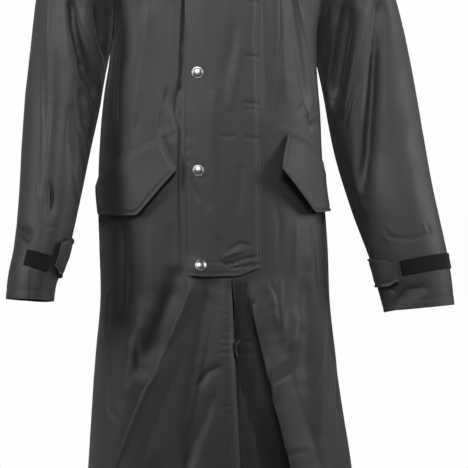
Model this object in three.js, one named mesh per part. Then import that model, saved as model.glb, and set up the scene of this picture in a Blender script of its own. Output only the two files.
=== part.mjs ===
// A long raincoat of coated nylon, in its worn shape with nobody inside.
// Millimetres, +Z up. The wearer faces -Y, and +X is the wearer's left.
// The origin is at the middle of the neck, level with the highest point of the shoulders.

import * as THREE from 'three';

// Driving dimensions
const WALL = 2;
const SEAM_GAP = 0.3;
const HEM_Z = -1250;
const ARMPIT_Z = -315;
const FLAP_BOTTOM_Z = -722;
const ROUNDNESS = 0.87;

// Grid sizes of the panels
const FRONT_COLUMNS = 18;
const BACK_COLUMNS = 22;
const SKIRT_ROWS = 20;
const YOKE_ROWS = 10;
const NECK_COLUMNS = 8;
const SLEEVE_ROWS = 19;
const CAP_SHARE = 0.42;

// Level sections of the body: half widths on the wearer's right and left, depths to the front and back
const BODY = [
  { z: -315, right: 171, left: 174, front: 124, back: 116 },
  { z: -385, right: 180, left: 178, front: 126, back: 115 },
  { z: -427, right: 186, left: 183, front: 128, back: 114 },
  { z: -511, right: 193, left: 187, front: 131, back: 116 },
  { z: -596, right: 195, left: 191, front: 135, back: 122 },
  { z: -680, right: 192, left: 197, front: 140, back: 131 },
  { z: -764, right: 190, left: 200, front: 146, back: 141 },
  { z: -850, right: 197, left: 209, front: 152, back: 152 },
  { z: -935, right: 203, left: 221, front: 158, back: 163 },
  { z: -1045, right: 210, left: 238, front: 165, back: 174 },
  { z: -1250, right: 224, left: 260, front: 176, back: 190 },
];

// Upper outlines, for the wearer's left; the right side is their mirror image. The armholes start at
// the armpit, on the body's section there
const CENTRE_FRONT = [[0, -124, -315], [0, -121, -240], [0, -108, -160], [0, -90, -108], [0, -74, -74]];
const FRONT_NECK = [[0, -74, -74], [36, -64, -60], [66, -34, -26], [80, 5, 0]];
const BACK_NECK = [[80, 5, 0], [68, 42, -3], [38, 62, -8], [0, 68, -10]];
const SHOULDER = [[80, 5, 0], [150, 10, -22], [220, 8, -58]];
const FRONT_ARMHOLE = [[180, -50, -272], [198, -74, -195], [212, -56, -115], [220, 8, -58]];
const BACK_ARMHOLE = [[181, 46, -268], [203, 70, -185], [215, 56, -108], [220, 8, -58]];

// Oval sections of the sleeves below the armpit: middle, half width across the front view, half depth
const SLEEVES = {
  left: [
    { z: -345, x: 263, y: -15, across: 78, deep: 57 },
    { z: -425, x: 273, y: -26, across: 81, deep: 55 },
    { z: -510, x: 285, y: -40, across: 80, deep: 52 },
    { z: -595, x: 300, y: -62, across: 75, deep: 48 },
    { z: -680, x: 321, y: -80, across: 68, deep: 43 },
    { z: -725, x: 330, y: -86, across: 66, deep: 41 },
    { z: -778, x: 339, y: -91, across: 62, deep: 39 },
  ],
  right: [
    { z: -345, x: 248, y: -15, across: 66, deep: 70 },
    { z: -425, x: 259, y: -26, across: 63, deep: 68 },
    { z: -510, x: 273, y: -40, across: 57, deep: 66 },
    { z: -595, x: 287, y: -62, across: 50, deep: 63 },
    { z: -680, x: 304, y: -80, across: 44, deep: 58 },
    { z: -725, x: 318, y: -86, across: 40, deep: 55 },
    { z: -760, x: 323, y: -90, across: 39, deep: 53 },
  ],
};
const CAP_END_Z = -425;

// Soft folds of the body, each along a straight line: ridges have a height above 0, troughs below 0
const FRONT_FOLDS = [
  { fromX: -62, fromZ: -715, toX: -106, toZ: -820, width: 17, height: 13 },
  { fromX: -106, fromZ: -820, toX: -150, toZ: -915, width: 18, height: 12 },
  { fromX: -90, fromZ: -725, toX: -141, toZ: -870, width: 17, height: -16 },
  { fromX: -36, fromZ: -738, toX: -52, toZ: -850, width: 13, height: -6 },
  { fromX: -52, fromZ: -850, toX: -76, toZ: -1010, width: 15, height: -7 },
  { fromX: -140, fromZ: -780, toX: -165, toZ: -900, width: 15, height: 7 },
  { fromX: -168, fromZ: -640, toX: -172, toZ: -790, width: 14, height: -7 },
  { fromX: 118, fromZ: -800, toX: 74, toZ: -930, width: 18, height: 10 },
  { fromX: 108, fromZ: -850, toX: 84, toZ: -950, width: 12, height: -8 },
  { fromX: 64, fromZ: -742, toX: 82, toZ: -820, width: 15, height: 8 },
  { fromX: 140, fromZ: -720, toX: 128, toZ: -900, width: 18, height: -8 },
  { fromX: 176, fromZ: -740, toX: 150, toZ: -1010, width: 20, height: 9 },
  { fromX: 150, fromZ: -1010, toX: 170, toZ: -1300, width: 22, height: 12 },
  { fromX: 205, fromZ: -900, toX: 214, toZ: -1300, width: 22, height: -11 },
  { fromX: -120, fromZ: -1040, toX: -118, toZ: -1300, width: 22, height: -12 },
  { fromX: -70, fromZ: -1060, toX: -66, toZ: -1300, width: 22, height: 9 },
  { fromX: 68, fromZ: -235, toX: 66, toZ: -450, width: 13, height: -4 },
  { fromX: 92, fromZ: -230, toX: 100, toZ: -420, width: 14, height: 3 },
  { fromX: 120, fromZ: -240, toX: 140, toZ: -430, width: 14, height: -4 },
  { fromX: -96, fromZ: -250, toX: -100, toZ: -470, width: 16, height: -4 },
  { fromX: -128, fromZ: -260, toX: -150, toZ: -450, width: 16, height: 4 },
];
const BACK_FOLDS = [
  { fromX: -48, fromZ: -150, toX: -40, toZ: -420, width: 20, height: -6 },
  { fromX: 58, fromZ: -160, toX: 46, toZ: -440, width: 20, height: -6 },
  { fromX: -130, fromZ: -300, toX: -60, toZ: -470, width: 18, height: -7 },
  { fromX: 132, fromZ: -310, toX: 66, toZ: -490, width: 18, height: -7 },
  { fromX: -40, fromZ: -620, toX: -66, toZ: -1300, width: 26, height: -16 },
  { fromX: 30, fromZ: -660, toX: 44, toZ: -1300, width: 25, height: -14 },
  { fromX: -8, fromZ: -700, toX: -12, toZ: -1300, width: 24, height: 13 },
  { fromX: 92, fromZ: -640, toX: 118, toZ: -1300, width: 26, height: 13 },
  { fromX: -106, fromZ: -680, toX: -132, toZ: -1300, width: 26, height: 14 },
  { fromX: 160, fromZ: -700, toX: 186, toZ: -1300, width: 24, height: -14 },
  { fromX: -160, fromZ: -660, toX: -178, toZ: -1300, width: 24, height: -13 },
];

// Soft folds of the sleeves: turn 0 faces the body, 90 the front, 180 outwards and 270 the back
const SLEEVE_FOLDS = {
  left: [
    { fromTurn: 119, fromZ: -250, toTurn: 92, toZ: -357, width: 13, height: -11 },
    { fromTurn: 92, fromZ: -357, toTurn: 63, toZ: -511, width: 12, height: -11 },
    { fromTurn: 63, fromZ: -511, toTurn: 36, toZ: -590, width: 12, height: -7 },
    { fromTurn: 72, fromZ: -262, toTurn: 22, toZ: -425, width: 13, height: -12 },
    { fromTurn: 90, fromZ: -264, toTurn: 40, toZ: -455, width: 8, height: 4 },
    { fromTurn: 40, fromZ: -770, toTurn: 88, toZ: -742, width: 9, height: -5 },
    { fromTurn: 210, fromZ: -470, toTurn: 280, toZ: -560, width: 14, height: -8 },
    { fromTurn: 300, fromZ: -540, toTurn: 215, toZ: -630, width: 14, height: -7 },
    { fromTurn: 245, fromZ: -180, toTurn: 262, toZ: -400, width: 16, height: -8 },
  ],
  right: [
    { fromTurn: 137, fromZ: -250, toTurn: 115, toZ: -434, width: 13, height: 7 },
    { fromTurn: 115, fromZ: -434, toTurn: 108, toZ: -590, width: 12, height: 5 },
    { fromTurn: 106, fromZ: -262, toTurn: 81, toZ: -353, width: 11, height: -9 },
    { fromTurn: 81, fromZ: -353, toTurn: 34, toZ: -440, width: 12, height: -12 },
    { fromTurn: 66, fromZ: -280, toTurn: 38, toZ: -345, width: 11, height: -9 },
    { fromTurn: 72, fromZ: -408, toTurn: 45, toZ: -485, width: 12, height: -8 },
    { fromTurn: 99, fromZ: -575, toTurn: 86, toZ: -615, width: 9, height: -5 },
    { fromTurn: 178, fromZ: -643, toTurn: 124, toZ: -656, width: 9, height: -7 },
    { fromTurn: 210, fromZ: -480, toTurn: 285, toZ: -545, width: 14, height: -8 },
    { fromTurn: 300, fromZ: -560, toTurn: 220, toZ: -640, width: 14, height: -7 },
    { fromTurn: 240, fromZ: -180, toTurn: 258, toZ: -400, width: 16, height: -8 },
  ],
};

// Pleats of the skirt, whose upper layer laps over towards the wearer's right: x is the middle of the
// pleat and half its half width, lap the length drawn over, lift the height of the upper layer, and sunk
// the depth of the cloth between the pleat and the centre front
const LEFT_PLEAT = [
  { z: -730, x: 24, half: 20, lap: 0, lift: 0, sunk: 0 },
  { z: -790, x: 36, half: 27, lap: 9, lift: 5, sunk: 6 },
  { z: -898, x: 67, half: 36, lap: 21, lift: 9, sunk: 10 },
  { z: -1033, x: 104, half: 40, lap: 28, lift: 11, sunk: 12 },
  { z: -1250, x: 146, half: 42, lap: 30, lift: 12, sunk: 13 },
];
const RIGHT_PLEAT = [
  { z: -800, x: -92, half: 34, lap: 0, lift: 0, sunk: 0 },
  { z: -870, x: -118, half: 36, lap: 15, lift: 6, sunk: 0 },
  { z: -915, x: -138, half: 38, lap: 22, lift: 8, sunk: 0 },
  { z: -1032, x: -172, half: 38, lap: 24, lift: 9, sunk: 0 },
  { z: -1250, x: -188, half: 38, lap: 23, lift: 10, sunk: 0 },
];
const PLEAT_COLUMNS = 9;
const COLUMNS_RIGHT_OF_PLEAT = { left: 3, right: 4 };
const GATHER_ROOM = 110;
const SUNK_END = 0.4;

// Front edges below the storm flap: the right one laps in front of the left one
const EDGE_REACH = [
  { z: -722, over: 0, forward: 0 },
  { z: -800, over: 3, forward: 4 },
  { z: -1032, over: 10, forward: 8 },
  { z: -1250, over: 14, forward: 9 },
];
const EDGE_SPREAD = 60;

// Storm flap: distances from the centre front, measured along the cloth
const FLAP_FREE_EDGE = -72;
const FLAP_SEWN_EDGE = 53;
const FLAP_SEWN_LIFT = 0.6;
const FLAP_LIFT = 3.4;
const FLAP_FREE_LIFT = 6;
const FLAP_SEAM_ROOM = 17;
const FLAP_RISE_START = 10;
const FLAP_COLUMNS = 7;
const FLAP_TOP_ROWS_LEFT_BARE = 1;
const FLAP_FIRST_ROW_ROOM = 5;

// Snap caps along the flap's free edge; the profile's radii are shares of the cap's radius
const SNAP_HEIGHTS = [-706, -550, -388, -226, -110];
const SNAP_FROM_CENTRE = -53;
const SNAP_RADIUS = 9.5;
const SNAP_SIDES = 14;
const SNAP_PROFILE = [
  { radius: 0, height: 0 },
  { radius: 0.86, height: 0 },
  { radius: 1, height: 0.7 },
  { radius: 0.93, height: 1.7 },
  { radius: 0.74, height: 2.3 },
  { radius: 0.4, height: 2.9 },
  { radius: 0, height: 3.2 },
];

// Pocket flaps: pointed, sewn along a slanting upper edge
const POCKETS = {
  left: { arc: 103, z: -488, slant: -22, lift: 3, stand: 20 },
  right: { arc: 113, z: -491, slant: -24, lift: 3, stand: 9 },
};
const POCKET_WIDTH = 176;
const POCKET_SIDE = 62;
const POCKET_POINT = 104;
const POCKET_OUTER_REST = 0.85;
const POCKET_SEWN_LIFT = 0.9;
const POCKET_COLUMNS = 10;
const POCKET_ROWS = 5;

// Cuff closings: a tape round the front of each cuff and a tab that comes from the side next to the body
const TAPES = {
  left: { fromTurn: 62, toTurn: 196, z: -697, fall: -3, height: 24 },
  right: { fromTurn: 70, toTurn: 126, z: -692, fall: 0, height: 23 },
};
const TABS = {
  left: { fromTurn: -38, toTurn: 56, z: -676, fall: -8, height: 51, lift: 8 },
  right: { fromTurn: -30, toTurn: 62, z: -658, fall: 0, height: 52, lift: 5 },
};
const TAPE_LIFT = 0.5;
const TRIM_WALL = 1.4;
const STRIP_ROWS = [0, 0.5, 1];
const TAPE_COLUMNS = 12;
const TAB_COLUMNS = 8;
const TAB_RISE_FROM = 0.1;
const TAB_POINT = { from: 0.78, top: 0.22, bottom: 0.13 };

// Collar: rows of its section from the neck seam over the roll to the outer edge
const COLLAR_STAND = 30;
const COLLAR_ROLL = 4.5;
const COLLAR_COLUMNS = 28;
const COLLAR_EDGE = [
  { turn: 0, out: 34, down: 60 },
  { turn: 30, out: 42, down: 54 },
  { turn: 60, out: 50, down: 34 },
  { turn: 90, out: 52, down: 12 },
  { turn: 130, out: 44, down: 22 },
  { turn: 180, out: 34, down: 40 },
];
const COLLAR_OPENING = 4;
const COLLAR_GAP = 1.6;

// Rows of the collar's section. Out: millimetres, then shares of the roll and of the edge's reach. Up:
// millimetres, then shares of the stand, of the roll and of the edge's fall
const COLLAR_SECTION = [
  { out: 0, outRoll: 0, outReach: 0, up: COLLAR_GAP, upStand: 0, upRoll: 0, upFall: 0 },
  { out: -1, outRoll: 0, outReach: 0, up: 0, upStand: 0.5, upRoll: 0, upFall: 0 },
  { out: -1, outRoll: 0, outReach: 0, up: 0, upStand: 1, upRoll: 0, upFall: 0 },
  { out: 0, outRoll: 0.8, outReach: 0, up: 0, upStand: 1, upRoll: 1, upFall: 0 },
  { out: 0, outRoll: 2.4, outReach: 0, up: 0, upStand: 1, upRoll: -0.4, upFall: 0 },
  { out: 0, outRoll: 0, outReach: 0.45, up: 0, upStand: 0.45, upRoll: 0, upFall: -0.12 },
  { out: 0, outRoll: 0, outReach: 0.75, up: 0, upStand: 0, upRoll: 0, upFall: -0.5 },
  { out: 0, outRoll: 0, outReach: 1, up: 0, upStand: 0, upRoll: 0, upFall: -1 },
];

// Distances along a section for each radian of turn, used to measure how far folds and pleats reach
const BODY_REACH = 185;
const SLEEVE_REACH = 66;

// Folds fade out towards the side, shoulder and armhole seams
const SEAM_FADE = 0.25;
const CAP_FADE = 0.12;

// Points nearer than the key's size count as one; the shift keeps round numbers off the keys' borders
const KEY_SIZE = 0.05;
const KEY_SHIFT = 0.0137;

// Evening out of the panels round the armpit's height
const EASE_PASSES = 10;
const EASE_SHARE = 0.5;

// Steps between the points that give a normal: radians round the body, degrees round a sleeve, and
// share of a sleeve's length
const RADIAN_STEP = 0.01;
const TURN_STEP = 2.5;
const SHARE_STEP = 0.011;

// How the sleeve leaves the armhole: under the arm, over the shoulder and at the front and back
const CAP_LEAVE = { under: { x: 8, z: -80 }, over: { x: 234, z: -100 }, ahead: 45 };

const DEGREE = Math.PI / 180;

/** Smooth step from 0 at `low` to 1 at `high`. */
function ramp(value, low, high) {
  const share = Math.min(1, Math.max(0, (value - low) / (high - low)));
  return share * share * (3 - 2 * share);
}

/** Value of one named column of a table at `at`, smoothly between its rows. */
function column(table, key, name, at) {
  const down = table[0][key] > table[table.length - 1][key];
  const rows = down ? [...table].reverse() : table;
  const last = rows.length - 1;
  const place = Math.min(rows[last][key], Math.max(rows[0][key], at));
  let i = 0;
  while (i < last - 1 && place > rows[i + 1][key]) i += 1;
  const slope = (k) => {
    const low = rows[Math.max(0, k - 1)];
    const high = rows[Math.min(last, k + 1)];
    return (high[name] - low[name]) / (high[key] - low[key]);
  };
  const span = rows[i + 1][key] - rows[i][key];
  const share = (place - rows[i][key]) / span;
  return cubic(rows[i][name], rows[i + 1][name], slope(i) * span, slope(i + 1) * span, share);
}

/** Cubic from a to b with start and end slopes. */
function cubic(a, b, slopeA, slopeB, t) {
  const t2 = t * t;
  const t3 = t2 * t;
  return a * (2 * t3 - 3 * t2 + 1) + b * (3 * t2 - 2 * t3) + slopeA * (t3 - 2 * t2 + t) + slopeB * (t3 - t2);
}

/** Point at a share of the length of a smooth path through a few points. */
function pathPoint(points, share) {
  const lengths = [0];
  for (let k = 1; k < points.length; k += 1) {
    lengths.push(lengths[k - 1] + Math.hypot(...points[k].map((v, axis) => v - points[k - 1][axis])));
  }
  const rows = points.map((p, k) => ({ at: lengths[k], x: p[0], y: p[1], z: p[2] }));
  const at = share * lengths[lengths.length - 1];
  return new THREE.Vector3(...['x', 'y', 'z'].map((name) => column(rows, 'at', name, at)));
}

/** Point of the plain body section; turn 0 is the centre front and grows towards the wearer's left. */
function bodyBase(turn, z) {
  const across = Math.sin(turn);
  const ahead = Math.cos(turn);
  const halfWidth = column(BODY, 'z', across < 0 ? 'right' : 'left', z);
  const depth = ahead > 0 ? -column(BODY, 'z', 'front', z) : column(BODY, 'z', 'back', z);
  return new THREE.Vector3(
    Math.sign(across) * halfWidth * Math.abs(across) ** ROUNDNESS,
    depth * Math.abs(ahead) ** ROUNDNESS,
    z,
  );
}

/** Turn of the body point that has this x, on the front or on the back. */
function turnOf(x, z, onBack) {
  const halfWidth = column(BODY, 'z', x < 0 ? 'right' : 'left', Math.max(HEM_Z, Math.min(ARMPIT_Z, z)));
  const turn = Math.sign(x) * Math.asin(Math.min(1, Math.abs(x) / halfWidth) ** (1 / ROUNDNESS));
  return onBack ? Math.PI - turn : turn;
}

/** Turn from one direction to another, the shorter way round. */
function turnBetween(from, to) {
  return Math.atan2(Math.sin(to - from), Math.cos(to - from));
}

/** Height of one soft fold at a place, from the distance to its line; half as high at its ends. */
function foldHeight(fold, at, z, reach) {
  const alongX = turnBetween(fold.from, fold.to) * reach;
  const alongZ = fold.toZ - fold.fromZ;
  const fromX = turnBetween(fold.from, at) * reach;
  const fromZ = z - fold.fromZ;
  const length = Math.hypot(alongX, alongZ);
  const share = Math.min(1, Math.max(0, (fromX * alongX + fromZ * alongZ) / length ** 2));
  const distance = Math.hypot(fromX - share * alongX, fromZ - share * alongZ);
  const toEnd = Math.min(share, 1 - share) * length;
  const crest = 0.5 + 0.5 * ramp(toEnd, 0, 2 * fold.width);
  return fold.height * crest * Math.exp(-((distance / fold.width) ** 2));
}

const bodyFolds = [
  ...FRONT_FOLDS.map((fold) => ({
    ...fold,
    from: turnOf(fold.fromX, fold.fromZ, false),
    to: turnOf(fold.toX, fold.toZ, false),
  })),
  ...BACK_FOLDS.map((fold) => ({
    ...fold,
    from: turnOf(fold.fromX, fold.fromZ, true),
    to: turnOf(fold.toX, fold.toZ, true),
  })),
];

/** Sum of the body's soft folds at a turn and a height. */
function bodyFoldHeight(turn, z) {
  return bodyFolds.reduce((sum, fold) => sum + foldHeight(fold, turn, z, BODY_REACH), 0);
}

/** Pleat at a turn: how far the point is drawn sideways (as a turn) and lifted. */
function pleatShift(table, turn, z) {
  if (z > table[0].z) return { turn: 0, lift: 0 };
  const middle = turnOf(column(table, 'z', 'x', z), z, false);
  const share = ((turn - middle) * BODY_REACH) / column(table, 'z', 'half', z);
  const sunk = -column(table, 'z', 'sunk', z) * (1 - ramp(share, -1, SUNK_END));
  if (Math.abs(share) >= 1) return { turn: 0, lift: sunk };
  const wave = Math.sin(Math.PI * share);
  return {
    turn: (-column(table, 'z', 'lap', z) * wave) / BODY_REACH,
    lift: column(table, 'z', 'lift', z) * wave + sunk,
  };
}

/** Turns of a front's columns at a height: even above, and gathered round the pleat below. */
function frontTurns(side, z) {
  const table = side === 'left' ? LEFT_PLEAT : RIGHT_PLEAT;
  const over = column(EDGE_REACH, 'z', 'over', z);
  const below = z < FLAP_BOTTOM_Z;
  const edge = below ? turnOf(side === 'left' ? over + 2 * SEAM_GAP : over, z, false) : 0;
  const from = side === 'left' ? edge : -Math.PI / 2;
  const to = side === 'left' ? Math.PI / 2 : edge;
  const inside = Math.min(z, table[0].z);
  const middle = turnOf(column(table, 'z', 'x', inside), inside, false);
  const half = column(table, 'z', 'half', inside) / BODY_REACH;
  const first = COLUMNS_RIGHT_OF_PLEAT[side];
  const last = first + PLEAT_COLUMNS;
  const gathered = ramp(-z, -table[0].z, -table[0].z + GATHER_ROOM);
  const turns = [];
  for (let i = 0; i <= FRONT_COLUMNS; i += 1) {
    const even = from + ((to - from) * i) / FRONT_COLUMNS;
    let bunched = middle - half + (2 * half * (i - first)) / PLEAT_COLUMNS;
    if (i < first) bunched = from + ((middle - half - from) * i) / first;
    if (i > last) bunched = to - ((to - middle - half) * (FRONT_COLUMNS - i)) / (FRONT_COLUMNS - last);
    turns.push(even + (bunched - even) * gathered);
  }
  return turns;
}

/** Turns of the back's columns, from the wearer's left side seam to the right one. */
function backTurns() {
  return Array.from({ length: BACK_COLUMNS + 1 }, (_, i) => Math.PI * (0.5 + i / BACK_COLUMNS));
}

const mirrored = (points) => points.map(([x, y, z]) => [-x, y, z]);
const seamPoints = (points, count) => (
  Array.from({ length: count + 1 }, (_, k) => pathPoint(points, k / count))
);

/** Top edge of a front or a back, from its neckline and shoulder seams; the first point is on the left. */
function frontTop(side) {
  const neck = seamPoints(side === 'left' ? FRONT_NECK : mirrored(FRONT_NECK), NECK_COLUMNS);
  const shoulder = side === 'left' ? SHOULDER : mirrored(SHOULDER);
  const edge = [...neck, ...seamPoints(shoulder, FRONT_COLUMNS - NECK_COLUMNS).slice(1)];
  return side === 'left' ? edge : edge.reverse();
}

/** Top edge of the back, along both shoulder seams and the back of the neck. */
function backTop() {
  const shoulderColumns = FRONT_COLUMNS - NECK_COLUMNS;
  const neckColumns = BACK_COLUMNS / 2 - shoulderColumns;
  const half = (mirror) => {
    const shoulder = seamPoints(mirror ? mirrored(SHOULDER) : SHOULDER, shoulderColumns).reverse();
    return [...shoulder, ...seamPoints(mirror ? mirrored(BACK_NECK) : BACK_NECK, neckColumns).slice(1)];
  };
  return [...half(false), ...half(true).reverse().slice(1)];
}

/** Armhole seam of one side, whose first point meets the body at the armpit. */
function armhole(side, points) {
  const sign = side === 'left' ? 1 : -1;
  const start = bodyBase((sign * Math.PI) / 2, ARMPIT_Z);
  const rest = points.map(([x, y, z]) => [sign * x, y, z]);
  return [[start.x, start.y, start.z], ...rest];
}

const armholes = {
  left: { front: armhole('left', FRONT_ARMHOLE), back: armhole('left', BACK_ARMHOLE) },
  right: { front: armhole('right', FRONT_ARMHOLE), back: armhole('right', BACK_ARMHOLE) },
};

/** Grid of a panel before its folds: level sections below the armpit, and a patch between seams above. */
function plainPanel(turnsAt, top, leftSeam, rightSeam) {
  const rows = [];
  for (let j = 0; j <= SKIRT_ROWS; j += 1) {
    const z = HEM_Z + ((ARMPIT_Z - HEM_Z) * j) / SKIRT_ROWS;
    rows.push(turnsAt(z).map((turn) => ({ turn, point: bodyBase(turn, z), fade: 1 })));
  }
  const bottom = rows[SKIRT_ROWS];
  const columns = bottom.length - 1;
  for (let j = 1; j <= YOKE_ROWS; j += 1) {
    const v = j / YOKE_ROWS;
    rows.push(bottom.map(({ turn, point }, i) => {
      const u = i / columns;
      const mixed = point.clone().multiplyScalar(1 - v).addScaledVector(top[i], v);
      mixed.addScaledVector(leftSeam[j], 1 - u).addScaledVector(rightSeam[j], u);
      mixed.addScaledVector(bottom[0].point, -(1 - u) * (1 - v));
      mixed.addScaledVector(bottom[columns].point, -u * (1 - v));
      mixed.addScaledVector(top[0], -(1 - u) * v).addScaledVector(top[columns], -u * v);
      const toSide = Math.abs(Math.PI / 2 - Math.abs(Math.PI - Math.abs(Math.PI - Math.abs(turn))));
      return { turn, point: mixed, fade: ramp(toSide, 0, SEAM_FADE) * ramp(1 - v, 0, SEAM_FADE) };
    }));
  }
  return eased(rows);
}

/** Evens out a grid round the height of the armpit, where its two ways of making meet. */
function eased(rows) {
  for (let pass = 0; pass < EASE_PASSES; pass += 1) {
    for (let j = SKIRT_ROWS - 1; j < rows.length - 1; j += 1) {
      for (let i = 1; i < rows[j].length - 1; i += 1) {
        const around = new THREE.Vector3();
        [rows[j - 1][i], rows[j + 1][i], rows[j][i - 1], rows[j][i + 1]].forEach((n) => around.add(n.point));
        rows[j][i].point.lerp(around.multiplyScalar(0.25), EASE_SHARE);
      }
    }
  }
  return rows;
}

/** Unit normals of several grids together, so that points which share a seam share a normal. */
function sharedNormals(grids) {
  const sums = new Map();
  const key = (p) => [p.x, p.y, p.z].map((v) => Math.round((v + KEY_SHIFT) / KEY_SIZE)).join(' ');
  const face = (a, b, c) => {
    const normal = new THREE.Vector3().subVectors(b, a).cross(new THREE.Vector3().subVectors(c, a));
    [a, b, c].forEach((p) => {
      if (!sums.has(key(p))) sums.set(key(p), new THREE.Vector3());
      sums.get(key(p)).add(normal);
    });
  };
  grids.forEach((grid) => {
    for (let j = 0; j < grid.length - 1; j += 1) {
      for (let i = 0; i < grid[j].length - 1; i += 1) {
        face(grid[j][i], grid[j][i + 1], grid[j + 1][i + 1]);
        face(grid[j][i], grid[j + 1][i + 1], grid[j + 1][i]);
      }
    }
  });
  return grids.map((grid) => grid.map((row) => row.map((p) => sums.get(key(p)).clone().normalize())));
}

/** Normal of the plain body section at a turn and a height. */
function bodyNormal(turn, z) {
  const along = bodyBase(turn + RADIAN_STEP, z).sub(bodyBase(turn - RADIAN_STEP, z));
  const up = bodyBase(turn, z + 1).sub(bodyBase(turn, z - 1));
  return along.cross(up).normalize();
}

/** Panel with its folds: points are moved along the normals, and pleats are drawn over. */
function foldedPanel(rows, normals, pleats, edgeForward) {
  return rows.map((row, j) => row.map(({ turn, point, fade }, i) => {
    if (j > SKIRT_ROWS) {
      return point.clone().addScaledVector(normals[j][i], bodyFoldHeight(turn, point.z) * fade);
    }
    const shift = pleats ? pleatShift(pleats, turn, point.z) : { turn: 0, lift: 0 };
    const drawn = turn + shift.turn;
    const base = shift.turn === 0 ? point.clone() : bodyBase(drawn, point.z);
    const height = bodyFoldHeight(turn, point.z) + shift.lift + edgeForward(turn, point.z);
    return base.addScaledVector(bodyNormal(drawn, point.z), height);
  }));
}

/** Lift of the right front's free edge, which hangs in front of the left one. */
function rightEdgeForward(turn, z) {
  if (z > FLAP_BOTTOM_Z) return 0;
  const reach = EDGE_SPREAD / BODY_REACH;
  return column(EDGE_REACH, 'z', 'forward', z) * ramp(turn, -reach, 0);
}

/** Middle, axes and half widths of a sleeve's oval at a height; x is that of the wearer's left. */
function sleeveRing(side, z) {
  const table = SLEEVES[side];
  const centre = (at) => new THREE.Vector3(column(table, 'z', 'x', at), column(table, 'z', 'y', at), at);
  const axis = centre(z - 1).sub(centre(z + 1)).normalize();
  const out = new THREE.Vector3(1, 0, 0).addScaledVector(axis, -axis.x).normalize();
  const ahead = new THREE.Vector3().crossVectors(out, axis).negate();
  if (ahead.y > 0) ahead.negate();
  return {
    middle: centre(z), axis, out, ahead,
    across: column(table, 'z', 'across', z),
    deep: column(table, 'z', 'deep', z),
  };
}

/** Point of the plain sleeve, at a turn in degrees and a share of the way from the armhole to the cuff. */
function sleeveBase(side, turn, share) {
  const table = SLEEVES[side];
  const cuffZ = table[table.length - 1].z;
  const inCap = share < CAP_SHARE;
  const z = inCap ? CAP_END_Z : CAP_END_Z + ((cuffZ - CAP_END_Z) * (share - CAP_SHARE)) / (1 - CAP_SHARE);
  const ring = sleeveRing(side, z);
  const angle = turn * DEGREE;
  const point = ring.middle.clone()
    .addScaledVector(ring.out, -ring.across * Math.cos(angle))
    .addScaledVector(ring.ahead, ring.deep * Math.sin(angle));
  if (inCap) {
    const start = pathPoint(seamOf(side, turn), (turn <= 180 ? turn : 360 - turn) / 180);
    const outward = (1 - Math.cos(angle)) / 2;
    const leave = new THREE.Vector3(
      THREE.MathUtils.lerp(CAP_LEAVE.under.x, CAP_LEAVE.over.x, outward),
      -CAP_LEAVE.ahead * Math.sin(angle),
      THREE.MathUtils.lerp(CAP_LEAVE.under.z, CAP_LEAVE.over.z, outward),
    );
    const arrive = ring.axis.clone().multiplyScalar(start.distanceTo(point));
    const t = share / CAP_SHARE;
    const mix = (name) => cubic(start[name], point[name], leave[name], arrive[name], t);
    point.set(mix('x'), mix('y'), mix('z'));
  }
  return point;
}

/** Armhole seam of a side, with x as on the wearer's left. */
function seamOf(side, turn) {
  const seam = turn <= 180 ? armholes[side].front : armholes[side].back;
  return seam.map(([x, y, z]) => [Math.abs(x), y, z]);
}

/** Sum of a sleeve's soft folds at a turn in degrees and a height. */
function sleeveFoldHeight(side, turn, z) {
  return SLEEVE_FOLDS[side].reduce((sum, fold) => {
    const lengths = { ...fold, from: fold.fromTurn * DEGREE, to: fold.toTurn * DEGREE };
    return sum + foldHeight(lengths, turn * DEGREE, z, SLEEVE_REACH);
  }, 0);
}

/** The same turn in degrees, from 0 to 360. */
function wholeTurn(turn) {
  return ((turn % 360) + 360) % 360;
}

/** Outward normal of a sleeve's surface, from its points a little way off on each side. */
function normalOf(surface, turn, share) {
  const around = surface(turn + TURN_STEP, share).sub(surface(turn - TURN_STEP, share));
  const lower = surface(turn, Math.min(1, share + SHARE_STEP));
  const down = lower.sub(surface(turn, Math.max(0, share - SHARE_STEP)));
  return down.cross(around).normalize();
}

/** Point and outward normal of a finished sleeve, on its own side of the body. */
function sleevePoint(side, turn, share) {
  const sign = side === 'left' ? 1 : -1;
  const plainAt = (angle, at) => sleeveBase(side, wholeTurn(angle), at);
  const foldedAt = (angle, at) => {
    const base = plainAt(angle, at);
    const height = sleeveFoldHeight(side, wholeTurn(angle), base.z) * ramp(at, 0, CAP_FADE);
    return base.addScaledVector(normalOf(plainAt, angle, at), height);
  };
  const point = foldedAt(turn, share);
  const normal = normalOf(foldedAt, turn, share);
  return {
    point: new THREE.Vector3(sign * point.x, point.y, point.z),
    normal: new THREE.Vector3(sign * normal.x, normal.y, normal.z),
  };
}

/** Grid of a sleeve from the cuff up to the armhole, round from the side next to the body. */
function sleeveGrid(side) {
  const around = 2 * YOKE_ROWS;
  const rows = [];
  for (let j = SLEEVE_ROWS; j >= 0; j -= 1) {
    const row = [];
    for (let i = 0; i <= around; i += 1) {
      const turn = ((side === 'left' ? i : around - i) % around) * (360 / around);
      row.push(sleevePoint(side, turn, j / SLEEVE_ROWS).point);
    }
    rows.push(row);
  }
  return rows;
}

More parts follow.
